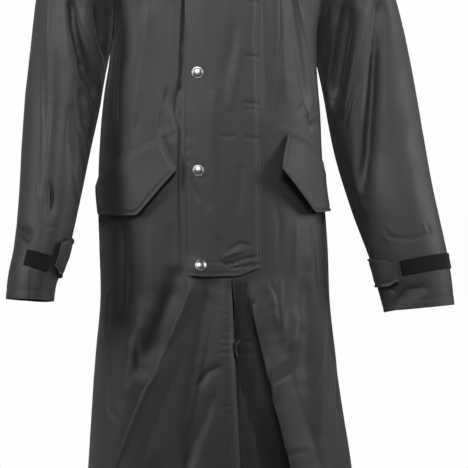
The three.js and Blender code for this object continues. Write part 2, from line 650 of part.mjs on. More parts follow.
/** Closed wall between an outer and an inner grid; a tube's first and last columns are the same. */
function wallMesh(name, outer, inner, material, isTube = false) {
  const rows = outer.length;
  const columns = outer[0].length;
  const end = columns - 1;
  const positions = [];
  [outer, inner].forEach((grid) => grid.forEach((row) => row.forEach((p) => positions.push(p.x, p.y, p.z))));
  const at = (layer, j, i) => (layer * rows + j) * columns + i;
  const index = [];
  const place = (k) => new THREE.Vector3().fromArray(positions, 3 * k);
  const quad = (a, b, c, d) => {
    if (place(a).distanceTo(place(c)) <= place(b).distanceTo(place(d))) index.push(a, b, c, a, c, d);
    else index.push(b, c, d, b, d, a);
  };
  for (let j = 0; j < rows - 1; j += 1) {
    for (let i = 0; i < columns - 1; i += 1) {
      quad(at(0, j, i), at(0, j, i + 1), at(0, j + 1, i + 1), at(0, j + 1, i));
      quad(at(1, j, i), at(1, j + 1, i), at(1, j + 1, i + 1), at(1, j, i + 1));
    }
  }
  for (let i = 0; i < columns - 1; i += 1) {
    quad(at(0, 0, i), at(1, 0, i), at(1, 0, i + 1), at(0, 0, i + 1));
    quad(at(0, rows - 1, i), at(0, rows - 1, i + 1), at(1, rows - 1, i + 1), at(1, rows - 1, i));
  }
  for (let j = 0; j < rows - 1 && !isTube; j += 1) {
    quad(at(0, j, 0), at(0, j + 1, 0), at(1, j + 1, 0), at(1, j, 0));
    quad(at(0, j, end), at(1, j, end), at(1, j + 1, end), at(0, j + 1, end));
  }
  const geometry = new THREE.BufferGeometry();
  geometry.setAttribute('position', new THREE.Float32BufferAttribute(positions, 3));
  geometry.setIndex(index);
  geometry.computeVertexNormals();
  const mesh = new THREE.Mesh(geometry, material);
  mesh.name = name;
  return mesh;
}

/** Draws the edges of a grid that lie on seams back into their panel by half the seam's gap. */
function drawnFromSeams(grid, edges) {
  const last = grid.length - 1;
  const end = grid[0].length - 1;
  return grid.map((row, j) => row.map((p, i) => {
    const moved = p.clone();
    const towards = (other) => {
      moved.add(other.clone().sub(p).setLength(SEAM_GAP / 2));
    };
    if (edges.left && i === 0) towards(row[1]);
    if (edges.right && i === end) towards(row[end - 1]);
    if (edges.top && j === last) towards(grid[last - 1][i]);
    return moved;
  }));
}

/** Wall of a panel, from its outer grid and the shared normals. */
function panelMesh(name, grid, normals, edges, material, isTube = false) {
  const inner = grid.map((row, j) => row.map((p, i) => p.clone().addScaledVector(normals[j][i], -WALL)));
  return wallMesh(name, drawnFromSeams(grid, edges), drawnFromSeams(inner, edges), material, isTube);
}

/** Strip that lies on other cloth: each sample gives a point, a normal and a lift. */
function laidMesh(name, samples, thickness, material) {
  const shifted = (extra) => samples.map((row) => row.map(({ point, normal, lift }) => (
    point.clone().addScaledVector(normal, lift + extra)
  )));
  return wallMesh(name, shifted(thickness), shifted(0), material);
}

const cloth = () => new THREE.MeshStandardMaterial({ color: 0x3f4043, roughness: 0.5, metalness: 0 });
const tapeCloth = () => new THREE.MeshStandardMaterial({ color: 0x1d1d20, roughness: 0.95, metalness: 0 });
const capMetal = () => new THREE.MeshStandardMaterial({ color: 0xc9cbce, roughness: 0.25, metalness: 1 });

// Panels of the body
const yokeSeam = (points) => seamPoints(points, YOKE_ROWS);
const centreSeam = yokeSeam(CENTRE_FRONT);
const plain = {
  right_front: plainPanel(
    (z) => frontTurns('right', z), frontTop('right'), yokeSeam(armholes.right.front), centreSeam,
  ),
  left_front: plainPanel(
    (z) => frontTurns('left', z), frontTop('left'), centreSeam, yokeSeam(armholes.left.front),
  ),
  back: plainPanel(backTurns, backTop(), yokeSeam(armholes.left.back), yokeSeam(armholes.right.back)),
};
const panelNames = Object.keys(plain);
const plainPoints = panelNames.map((name) => plain[name].map((row) => row.map((p) => p.point)));
const plainNormals = sharedNormals(plainPoints);
const pleatsOf = { right_front: RIGHT_PLEAT, left_front: LEFT_PLEAT, back: null };
const folded = panelNames.map((name, k) => foldedPanel(
  plain[name], plainNormals[k], pleatsOf[name], name === 'right_front' ? rightEdgeForward : () => 0,
));
const sleeveGrids = [sleeveGrid('right'), sleeveGrid('left')];
const normals = sharedNormals([...folded, ...sleeveGrids]);
const [rightFront, leftFront] = folded;

/** Point and normal on the fronts, at a distance along the cloth from the centre front and a height. */
function frontPoint(arc, z) {
  const grid = arc < 0 ? rightFront : leftFront;
  const gridNormals = arc < 0 ? normals[0] : normals[1];
  const edge = arc < 0 ? FRONT_COLUMNS : 0;
  const step = arc < 0 ? -1 : 1;
  let j = 0;
  while (j < grid.length - 2 && grid[j + 1][edge].z < z) j += 1;
  const share = (z - grid[j][edge].z) / (grid[j + 1][edge].z - grid[j][edge].z);
  const at = (source, i) => source[j][i].clone().lerp(source[j + 1][i], share);
  let i = edge;
  let left = Math.abs(arc);
  for (;;) {
    const length = at(grid, i).distanceTo(at(grid, i + step));
    if (left <= length || i + 2 * step < 0 || i + 2 * step > FRONT_COLUMNS) {
      const part = left / length;
      return {
        point: at(grid, i).lerp(at(grid, i + step), part),
        normal: at(gridNormals, i).lerp(at(gridNormals, i + step), part).normalize(),
      };
    }
    left -= length;
    i += step;
  }
}

/** Lift of the storm flap over the fronts: seated at its sewn edge and highest at its free edge. */
function flapLift(arc) {
  const seat = (FLAP_LIFT - FLAP_SEWN_LIFT) * ramp(FLAP_SEWN_EDGE - arc, 0, FLAP_SEAM_ROOM);
  return FLAP_SEWN_LIFT + seat + (FLAP_FREE_LIFT - FLAP_LIFT) * ramp(-arc, -FLAP_RISE_START, -FLAP_FREE_EDGE);
}

/** Flap over the centre front, made from points of the fronts. */
function stormFlap() {
  const heights = [FLAP_BOTTOM_Z];
  leftFront.forEach((row) => {
    if (row[0].z > FLAP_BOTTOM_Z + FLAP_FIRST_ROW_ROOM) heights.push(row[0].z);
  });
  heights.length -= FLAP_TOP_ROWS_LEFT_BARE;
  const samples = heights.map((z) => Array.from({ length: FLAP_COLUMNS + 1 }, (_, i) => {
    const arc = FLAP_FREE_EDGE + ((FLAP_SEWN_EDGE - FLAP_FREE_EDGE) * i) / FLAP_COLUMNS;
    return { ...frontPoint(arc, z), lift: flapLift(arc) };
  }));
  return laidMesh('storm_flap', samples, WALL, cloth());
}

/** Domed snap cap, turned about the cloth's normal. */
function snapCap(name, z) {
  const { point, normal } = frontPoint(SNAP_FROM_CENTRE, z);
  const profile = SNAP_PROFILE.map(({ radius, height }) => new THREE.Vector2(radius * SNAP_RADIUS, height));
  const mesh = new THREE.Mesh(new THREE.LatheGeometry(profile, SNAP_SIDES), capMetal());
  mesh.name = name;
  mesh.position.copy(point).addScaledVector(normal, flapLift(SNAP_FROM_CENTRE) + WALL + 2 * SEAM_GAP);
  mesh.quaternion.setFromUnitVectors(new THREE.Vector3(0, 1, 0), normal);
  return mesh;
}

/** Pointed pocket flap, sewn along its slanting upper edge and standing away at its inner corner. */
function pocketFlap(side) {
  const { arc, z, slant, lift, stand } = POCKETS[side];
  const sign = side === 'left' ? 1 : -1;
  const along = { arc: Math.cos(slant * DEGREE), z: Math.sin(slant * DEGREE) };
  const down = { arc: Math.sin(slant * DEGREE), z: -Math.cos(slant * DEGREE) };
  const samples = [];
  for (let j = POCKET_ROWS; j >= 0; j -= 1) {
    const share = j / POCKET_ROWS;
    const row = [];
    for (let i = 0; i <= POCKET_COLUMNS; i += 1) {
      const across = i / POCKET_COLUMNS;
      const length = POCKET_SIDE + (POCKET_POINT - POCKET_SIDE) * (1 - Math.abs(2 * across - 1));
      const placeArc = arc + across * POCKET_WIDTH * along.arc + share * length * down.arc;
      const placeZ = z + across * POCKET_WIDTH * along.z + share * length * down.z;
      const bow = stand * share * share * (1 - POCKET_OUTER_REST * across);
      const height = POCKET_SEWN_LIFT + lift * ramp(share, 0, 1 / POCKET_ROWS) + bow;
      row.push({ ...frontPoint(sign * placeArc, placeZ), lift: height });
    }
    samples.push(side === 'left' ? row : row.reverse());
  }
  return laidMesh(`${side}_pocket_flap`, samples, WALL, cloth());
}

/** Strip round a sleeve between two turns and two heights, its lift given by the share along it. */
function cuffStrip(name, side, strip, columns, liftAt, shapeAt, material) {
  const table = SLEEVES[side];
  const cuffZ = table[table.length - 1].z;
  const shareOf = (z) => CAP_SHARE + ((1 - CAP_SHARE) * (CAP_END_Z - z)) / (CAP_END_Z - cuffZ);
  const samples = STRIP_ROWS.map((v) => {
    const row = [];
    for (let i = 0; i <= columns; i += 1) {
      const u = i / columns;
      const { top, bottom } = shapeAt(u);
      const z = strip.z + strip.fall * u - strip.height * (bottom + (top - bottom) * v);
      const turn = strip.fromTurn + (strip.toTurn - strip.fromTurn) * u;
      row.push({ ...sleevePoint(side, turn, shareOf(z)), lift: liftAt(u) });
    }
    return side === 'left' ? row : row.reverse();
  });
  return laidMesh(name, samples, TRIM_WALL, material);
}

/** Tape round the front of a cuff. */
function cuffTape(side) {
  const wholeHeight = () => ({ top: 0, bottom: 1 });
  const name = `${side}_cuff_tape`;
  return cuffStrip(name, side, TAPES[side], TAPE_COLUMNS, () => TAPE_LIFT, wholeHeight, tapeCloth());
}

/** Tab that closes a cuff, with its free end cut to a blunt point. */
function cuffTab(side) {
  const tab = TABS[side];
  const liftAt = (u) => 2 * TAPE_LIFT + tab.lift * ramp(u, TAB_RISE_FROM, 1);
  const shapeAt = (u) => {
    const end = ramp(u, TAB_POINT.from, 1);
    return { top: TAB_POINT.top * end, bottom: 1 - TAB_POINT.bottom * end };
  };
  return cuffStrip(`${side}_cuff_tab`, side, tab, TAB_COLUMNS, liftAt, shapeAt, cloth());
}

/** Turned-down collar: a stand, a roll and a fall whose edge hangs clear of the shoulders. */
function collar() {
  const neck = [...FRONT_NECK, ...BACK_NECK.slice(1)];
  const rows = COLLAR_SECTION.map(() => []);
  for (let i = 0; i <= COLLAR_COLUMNS; i += 1) {
    const sign = i <= COLLAR_COLUMNS / 2 ? 1 : -1;
    const share = 1 - Math.abs((2 * i) / COLLAR_COLUMNS - 1);
    const base = pathPoint(neck, share);
    base.x = Math.max(base.x, share < 0.5 ? COLLAR_OPENING : 0);
    const turn = share * 180;
    const out = new THREE.Vector3(Math.sin(turn * DEGREE), -Math.cos(turn * DEGREE), 0);
    const reach = column(COLLAR_EDGE, 'turn', 'out', turn);
    const down = column(COLLAR_EDGE, 'turn', 'down', turn);
    COLLAR_SECTION.forEach((row, j) => {
      const up = row.up + row.upStand * COLLAR_STAND + row.upRoll * COLLAR_ROLL + row.upFall * down;
      const p = base.clone().addScaledVector(out, row.out + row.outRoll * COLLAR_ROLL + row.outReach * reach);
      rows[j].push(new THREE.Vector3(sign * p.x, p.y, p.z + up));
    });
  }
  const [collarNormals] = sharedNormals([rows]);
  const inner = rows.map((row, j) => row.map((p, i) => (
    p.clone().addScaledVector(collarNormals[j][i], -WALL)
  )));
  inner[0].forEach((p, i) => { p.z = Math.max(p.z, rows[0][i].z); });
  return wallMesh('collar', rows, inner, cloth());
}

const raincoat = new THREE.Group();
panelNames.forEach((name, k) => {
  raincoat.add(panelMesh(name, folded[k], normals[k], { left: true, right: true, top: true }, cloth()));
});
['right', 'left'].forEach((side, k) => {
  const sleeveNormals = normals[panelNames.length + k];
  raincoat.add(panelMesh(`${side}_sleeve`, sleeveGrids[k], sleeveNormals, { top: true }, cloth(), true));
  raincoat.add(pocketFlap(side), cuffTape(side), cuffTab(side));
});
raincoat.add(stormFlap(), collar());
SNAP_HEIGHTS.forEach((z, k) => raincoat.add(snapCap(`snap_${k + 1}`, z)));

export default raincoat;
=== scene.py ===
"""Looks of a long raincoat of coated nylon, in its worn shape with nobody inside.

The cloth follows the frame's solids: the same tables of sizes give each panel its form, at a finer
spacing, and the finer creases, puckers and stitches are added here. Sizes are in millimetres until a
mesh is made. +Z is up, -Y the front and +X the wearer's left.
"""

import logging
import math
from dataclasses import dataclass, field
from enum import Enum

import bpy
import numpy as np
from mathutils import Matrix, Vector


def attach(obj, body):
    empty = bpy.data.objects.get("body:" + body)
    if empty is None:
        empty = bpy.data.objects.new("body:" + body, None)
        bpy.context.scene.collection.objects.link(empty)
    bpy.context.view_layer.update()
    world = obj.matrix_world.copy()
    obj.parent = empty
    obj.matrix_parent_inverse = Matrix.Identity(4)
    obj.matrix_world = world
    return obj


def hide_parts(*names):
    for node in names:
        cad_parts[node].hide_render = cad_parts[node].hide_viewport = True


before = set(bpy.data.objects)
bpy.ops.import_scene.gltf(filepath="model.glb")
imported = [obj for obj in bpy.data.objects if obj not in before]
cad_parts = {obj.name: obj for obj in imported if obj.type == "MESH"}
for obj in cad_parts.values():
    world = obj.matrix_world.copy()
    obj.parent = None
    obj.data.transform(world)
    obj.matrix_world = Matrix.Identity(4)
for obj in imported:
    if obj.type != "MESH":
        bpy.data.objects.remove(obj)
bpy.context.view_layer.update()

LOG = logging.getLogger("raincoat")
METRE = 0.001
DEGREE = math.pi / 180
# A wave texture of scale s has one band in each WAVE_BAND / s metres
WAVE_BAND = 0.314
BODY = "root"


class Side(Enum):
    """Side of the wearer; the value is the sign of x there."""

    RIGHT = -1
    LEFT = 1

    @property
    def word(self) -> str:
        """Name of the side as the nodes have it."""
        return self.name.lower()


class Hang(Enum):
    """Ways in which a sheet of cloth is held."""

    HUNG = "hung"
    STRETCHED = "stretched"
    FOLDED = "folded"


def smooth_step(value: np.ndarray, low: float, high: float) -> np.ndarray:
    """Rises smoothly from 0 at low to 1 at high.

    Args:
        value: Numbers to place between low and high.
        low: Where the rise starts.
        high: Where the rise ends.

    Returns:
        Shares from 0 to 1, of the shape of value.
    """
    share = np.clip((value - low) / (high - low), 0.0, 1.0)
    return share * share * (3 - 2 * share)


def cubic_read(keys: np.ndarray, values: np.ndarray, at: np.ndarray) -> np.ndarray:
    """Reads rows of numbers smoothly between their keys.

    Args:
        keys: Rising keys, one for each row.
        values: Rows of numbers, with any further axes.
        at: Places to read, held inside the keys.

    Returns:
        Numbers at each place, with the further axes of values.
    """
    keys = np.asarray(keys, float)
    values = np.asarray(values, float)
    gaps = np.diff(keys)
    low = np.concatenate([[0], np.arange(len(keys) - 1)])
    high = np.concatenate([np.arange(1, len(keys)), [len(keys) - 1]])
    extra = (1,) * (values.ndim - 1)
    slopes = (values[high] - values[low]) / (keys[high] - keys[low]).reshape(-1, *extra)
    at = np.clip(np.asarray(at, float), keys[0], keys[-1])
    row = np.clip(np.searchsorted(keys, at, side="left") - 1, 0, len(keys) - 2)
    span = gaps[row]
    t = ((at - keys[row]) / span).reshape((*at.shape, *extra))
    span = span.reshape((*at.shape, *extra))
    t2, t3 = t * t, t * t * t
    ends = values[row] * (2 * t3 - 3 * t2 + 1) + values[row + 1] * (3 * t2 - 2 * t3)
    return ends + span * (slopes[row] * (t3 - 2 * t2 + t) + slopes[row + 1] * (t3 - t2))


@dataclass(frozen=True)
class Table:
    """Rows of named sizes, read smoothly between them.

    Attributes:
        names: Names of the columns; the first is the key.
        rows: Numbers of each row, in the order of the names.
    """

    names: tuple[str, ...]
    rows: tuple[tuple[float, ...], ...]

    def read(self, name: str, at: np.ndarray) -> np.ndarray:
        """Reads one column at the given keys."""
        rows = np.array(sorted(self.rows), float)
        return cubic_read(rows[:, 0], rows[:, self.names.index(name)], np.asarray(at, float))

    @property
    def first_key(self) -> float:
        """Key of the first row as written."""
        return self.rows[0][0]


def path_point(points: np.ndarray, share: np.ndarray) -> np.ndarray:
    """Points at shares of the length of a smooth path through a few points."""
    points = np.asarray(points, float)
    steps = np.linalg.norm(np.diff(points, axis=0), axis=1)
    keys = np.concatenate([[0.0], np.cumsum(steps)])
    return cubic_read(keys, points, np.asarray(share, float) * keys[-1])


def turn_between(start: np.ndarray, end: np.ndarray) -> np.ndarray:
    """Turn from one direction to another, the shorter way round."""
    return np.arctan2(np.sin(end - start), np.cos(end - start))


def unit(vectors: np.ndarray) -> np.ndarray:
    """Scales vectors to length 1."""
    return vectors / np.maximum(np.linalg.norm(vectors, axis=-1, keepdims=True), 1e-9)


def grid_normals(grid: np.ndarray, closed: bool = False) -> np.ndarray:
    """Unit normals of a grid of points, pointing out of the garment.

    Args:
        grid: Points by row and column; columns run with the turn and rows run up.
        closed: True where the first and last columns are the same.

    Returns:
        One unit vector for each point.
    """
    across = np.gradient(grid, axis=1)
    if closed:
        wrap = (grid[:, 1] - grid[:, -2]) / 2
        across[:, 0] = wrap
        across[:, -1] = wrap
    return unit(np.cross(across, np.gradient(grid, axis=0)))


class Noise:
    """Seeded value noise, the same on every run."""

    LATTICE = 32

    def __init__(self, seed: int) -> None:
        """Draws the lattice from the seed."""
        size = self.LATTICE
        self.values = np.random.default_rng(seed).uniform(-1.0, 1.0, (size, size, size))

    def at(self, points: np.ndarray, size: float) -> np.ndarray:
        """Noise at points in space, with lumps about the given size in millimetres."""
        place = np.asarray(points, float) / size
        cell = np.floor(place).astype(int)
        t = place - cell
        t = t * t * (3 - 2 * t)
        total = np.zeros(place.shape[:-1])
        for corner in np.ndindex(2, 2, 2):
            index = tuple((cell[..., axis] + corner[axis]) % self.LATTICE for axis in range(3))
            weight = np.ones(place.shape[:-1])
            for axis in range(3):
                weight = weight * (t[..., axis] if corner[axis] else 1 - t[..., axis])
            total += self.values[index] * weight
        return total

    def along(self, distance: np.ndarray, pitch: float) -> np.ndarray:
        """Uneven puckers beside a row of stitches: narrow dents between wider swells."""
        flat = np.asarray(distance, float)
        spot = np.stack([flat, np.full_like(flat, 7.3), np.full_like(flat, 2.1)], axis=-1)
        place = flat / pitch + 1.3 * self.at(spot, 2.3 * pitch)
        strength = np.clip(0.5 + 1.1 * self.at(spot + 31.0, 4.3 * pitch), 0.0, 1.2)
        return (np.abs(np.sin(math.pi * place)) ** 0.7 - 0.7) * strength


@dataclass(frozen=True)
class Fold:
    """Large soft fold along a straight line; a height below 0 makes a trough."""

    from_across: float
    from_z: float
    to_across: float
    to_z: float
    width: float
    height: float


@dataclass(frozen=True)
class Crease:
    """Finer crease along a path.

    Attributes:
        path: Places along it, each a distance or a turn across and a height.
        width: Half width at which it fades.
        height: Height at its middle; below 0 for a trough.
        lean: Width on the side that lies to the left of its direction, as a share of the other.
    """

    path: tuple[tuple[float, float], ...]
    width: float
    height: float
    lean: float = 1.0


def crease_field(
    path: np.ndarray, width: float, height: float, lean: float, across: np.ndarray, z: np.ndarray
) -> np.ndarray:
    """Height of a crease at each place of a cloth.

    Args:
        path: Places of the crease, as distance across and height.
        width: Half width of the crease.
        height: Height at its middle.
        lean: Share of the width on its left side.
        across: Distance across the cloth of each place.
        z: Height of each place.

    Returns:
        Heights, of the shape of across.
    """
    lengths = np.linalg.norm(np.diff(path, axis=0), axis=1)
    total = lengths.sum()
    best = np.full(across.shape, np.inf)
    share = np.zeros(across.shape)
    side = np.zeros(across.shape)
    done = 0.0
    for start, end, length in zip(path[:-1], path[1:], lengths):
        step = (end - start) / length
        ahead = (across - start[0]) * step[0] + (z - start[1]) * step[1]
        held = np.clip(ahead, 0.0, length)
        off_x = across - start[0] - held * step[0]
        off_z = z - start[1] - held * step[1]
        distance = np.hypot(off_x, off_z)
        nearer = distance < best
        best = np.where(nearer, distance, best)
        share = np.where(nearer, (done + held) / total, share)
        side = np.where(nearer, step[0] * off_z - step[1] * off_x, side)
        done += length
    reach = np.where(side > 0, width * lean, width)
    taper = np.clip(4 * share * (1 - share), 0.0, 1.0) ** 0.5
    return height * np.exp(-((best / reach) ** 2)) * (0.12 + 0.88 * taper)


@dataclass
class Cut:
    """Sizes of the coat's cut, shared by every piece."""

    hem_z: float = -1250.0
    armpit_z: float = -315.0
    flap_bottom_z: float = -722.0
    roundness: float = 0.87
    front_columns: int = 18
    back_columns: int = 22
    skirt_rows: int = 20
    yoke_rows: int = 10
    neck_columns: int = 8
    cap_share: float = 0.42
    cap_end_z: float = -425.0
    body_reach: float = 185.0
    sleeve_reach: float = 66.0
    seam_fade: float = 0.25
    cap_fade: float = 0.12
    ease_passes: int = 10
    ease_share: float = 0.5
    edge_spread: float = 60.0
    pleat_columns: int = 9
    gather_room: float = 110.0
    edge_gap: float = 0.6
    body: Table = Table(
        ("z", "right", "left", "front", "back"),
        (
            (-315, 171, 174, 124, 116),
            (-385, 180, 178, 126, 115),
            (-427, 186, 183, 128, 114),
            (-511, 193, 187, 131, 116),
            (-596, 195, 191, 135, 122),
            (-680, 192, 197, 140, 131),
            (-764, 190, 200, 146, 141),
            (-850, 197, 209, 152, 152),
            (-935, 203, 221, 158, 163),
            (-1045, 210, 238, 165, 174),
            (-1250, 224, 260, 176, 190),
        ),
    )
    left_pleat: Table = Table(
        ("z", "x", "half", "lap", "lift", "sunk"),
        (
            (-730, 24, 20, 0, 0, 0),
            (-790, 36, 27, 9, 5, 6),
            (-898, 67, 36, 21, 9, 10),
            (-1033, 104, 40, 28, 11, 12),
            (-1250, 146, 42, 30, 12, 13),
        ),
    )
    right_pleat: Table = Table(
        ("z", "x", "half", "lap", "lift", "sunk"),
        (
            (-800, -92, 34, 0, 0, 0),
            (-870, -118, 36, 15, 6, 0),
            (-915, -138, 38, 22, 8, 0),
            (-1032, -172, 38, 24, 9, 0),
            (-1250, -188, 38, 23, 10, 0),
        ),
    )
    edge_reach: Table = Table(
        ("z", "over", "forward"),
        ((-722, 0, 0), (-800, 3, 4), (-1032, 10, 8), (-1250, 14, 9)),
    )
    centre_front: tuple = ((0, -124, -315), (0, -121, -240), (0, -108, -160), (0, -90, -108), (0, -74, -74))
    front_neck: tuple = ((0, -74, -74), (36, -64, -60), (66, -34, -26), (80, 5, 0))
    back_neck: tuple = ((80, 5, 0), (68, 42, -3), (38, 62, -8), (0, 68, -10))
    shoulder: tuple = ((80, 5, 0), (150, 10, -22), (220, 8, -58))
    front_armhole: tuple = ((180, -50, -272), (198, -74, -195), (212, -56, -115), (220, 8, -58))
    back_armhole: tuple = ((181, 46, -268), (203, 70, -185), (215, 56, -108), (220, 8, -58))

    def body_base(self, turn: np.ndarray, z: np.ndarray) -> np.ndarray:
        """Points of the plain body section; turn 0 is the centre front, growing to the wearer's left."""
        turn, z = np.broadcast_arrays(np.asarray(turn, float), np.asarray(z, float))
        across, ahead = np.sin(turn), np.cos(turn)
        half = np.where(across < 0, self.body.read("right", z), self.body.read("left", z))
        depth = np.where(ahead > 0, -self.body.read("front", z), self.body.read("back", z))
        x = np.sign(across) * half * np.abs(across) ** self.roundness
        return np.stack([x, depth * np.abs(ahead) ** self.roundness, z], axis=-1)

    def body_normal(self, turn: np.ndarray, z: np.ndarray) -> np.ndarray:
        """Normals of the plain body section."""
        step = 0.01
        along = self.body_base(turn + step, z) - self.body_base(turn - step, z)
        up = self.body_base(turn, z + 1) - self.body_base(turn, z - 1)
        return unit(np.cross(along, up))

    def turn_of(self, x: np.ndarray, z: np.ndarray, on_back: bool = False) -> np.ndarray:
        """Turn of the body point that has this x, on the front or on the back."""
        x, z = np.asarray(x, float), np.clip(np.asarray(z, float), self.hem_z, self.armpit_z)
        half = np.where(x < 0, self.body.read("right", z), self.body.read("left", z))
        turn = np.sign(x) * np.arcsin(np.minimum(1.0, np.abs(x) / half) ** (1 / self.roundness))
        return math.pi - turn if on_back else turn

    def armhole(self, side: Side, points: tuple) -> np.ndarray:
        """Armhole seam of one side, from the armpit up to the shoulder."""
        start = self.body_base(side.value * math.pi / 2, self.armpit_z)
        rest = np.array(points, float) * [side.value, 1, 1]
        return np.vstack([start.reshape(1, 3), rest])


# Large folds of the solids: across is x on the fronts and the back, and the turn in degrees on sleeves
FRONT_FOLDS = (
    Fold(-62, -715, -106, -820, 17, 13),
    Fold(-106, -820, -150, -915, 18, 12),
    Fold(-90, -725, -141, -870, 17, -16),
    Fold(-36, -738, -52, -850, 13, -6),
    Fold(-52, -850, -76, -1010, 15, -7),
    Fold(-140, -780, -165, -900, 15, 7),
    Fold(-168, -640, -172, -790, 14, -7),
    Fold(118, -800, 74, -930, 18, 10),
    Fold(108, -850, 84, -950, 12, -8),
    Fold(64, -742, 82, -820, 15, 8),
    Fold(140, -720, 128, -900, 18, -8),
    Fold(176, -740, 150, -1010, 20, 9),
    Fold(150, -1010, 170, -1300, 22, 12),
    Fold(205, -900, 214, -1300, 22, -11),
    Fold(-120, -1040, -118, -1300, 22, -12),
    Fold(-70, -1060, -66, -1300, 22, 9),
    Fold(68, -235, 66, -450, 13, -4),
    Fold(92, -230, 100, -420, 14, 3),
    Fold(120, -240, 140, -430, 14, -4),
    Fold(-96, -250, -100, -470, 16, -4),
    Fold(-128, -260, -150, -450, 16, 4),
)
BACK_FOLDS = (
    Fold(-48, -150, -40, -420, 20, -6),
    Fold(58, -160, 46, -440, 20, -6),
    Fold(-130, -300, -60, -470, 18, -7),
    Fold(132, -310, 66, -490, 18, -7),
    Fold(-40, -620, -66, -1300, 26, -16),
    Fold(30, -660, 44, -1300, 25, -14),
    Fold(-8, -700, -12, -1300, 24, 13),
    Fold(92, -640, 118, -1300, 26, 13),
    Fold(-106, -680, -132, -1300, 26, 14),
    Fold(160, -700, 186, -1300, 24, -14),
    Fold(-160, -660, -178, -1300, 24, -13),
)
SLEEVE_FOLDS = {
    Side.LEFT: (
        Fold(119, -250, 92, -357, 13, -11),
        Fold(92, -357, 63, -511, 12, -11),
        Fold(63, -511, 36, -590, 12, -7),
        Fold(72, -262, 22, -425, 13, -12),
        Fold(90, -264, 40, -455, 8, 4),
        Fold(40, -770, 88, -742, 9, -5),
        Fold(210, -470, 280, -560, 14, -8),
        Fold(300, -540, 215, -630, 14, -7),
        Fold(245, -180, 262, -400, 16, -8),
    ),
    Side.RIGHT: (
        Fold(137, -250, 115, -434, 13, 7),
        Fold(115, -434, 108, -590, 12, 5),
        Fold(106, -262, 81, -353, 11, -9),
        Fold(81, -353, 34, -440, 12, -12),
        Fold(66, -280, 38, -345, 11, -9),
        Fold(72, -408, 45, -485, 12, -8),
        Fold(99, -575, 86, -615, 9, -5),
        Fold(178, -643, 124, -656, 9, -7),
        Fold(210, -480, 285, -545, 14, -8),
        Fold(300, -560, 220, -640, 14, -7),
        Fold(240, -180, 258, -400, 16, -8),
    ),
}

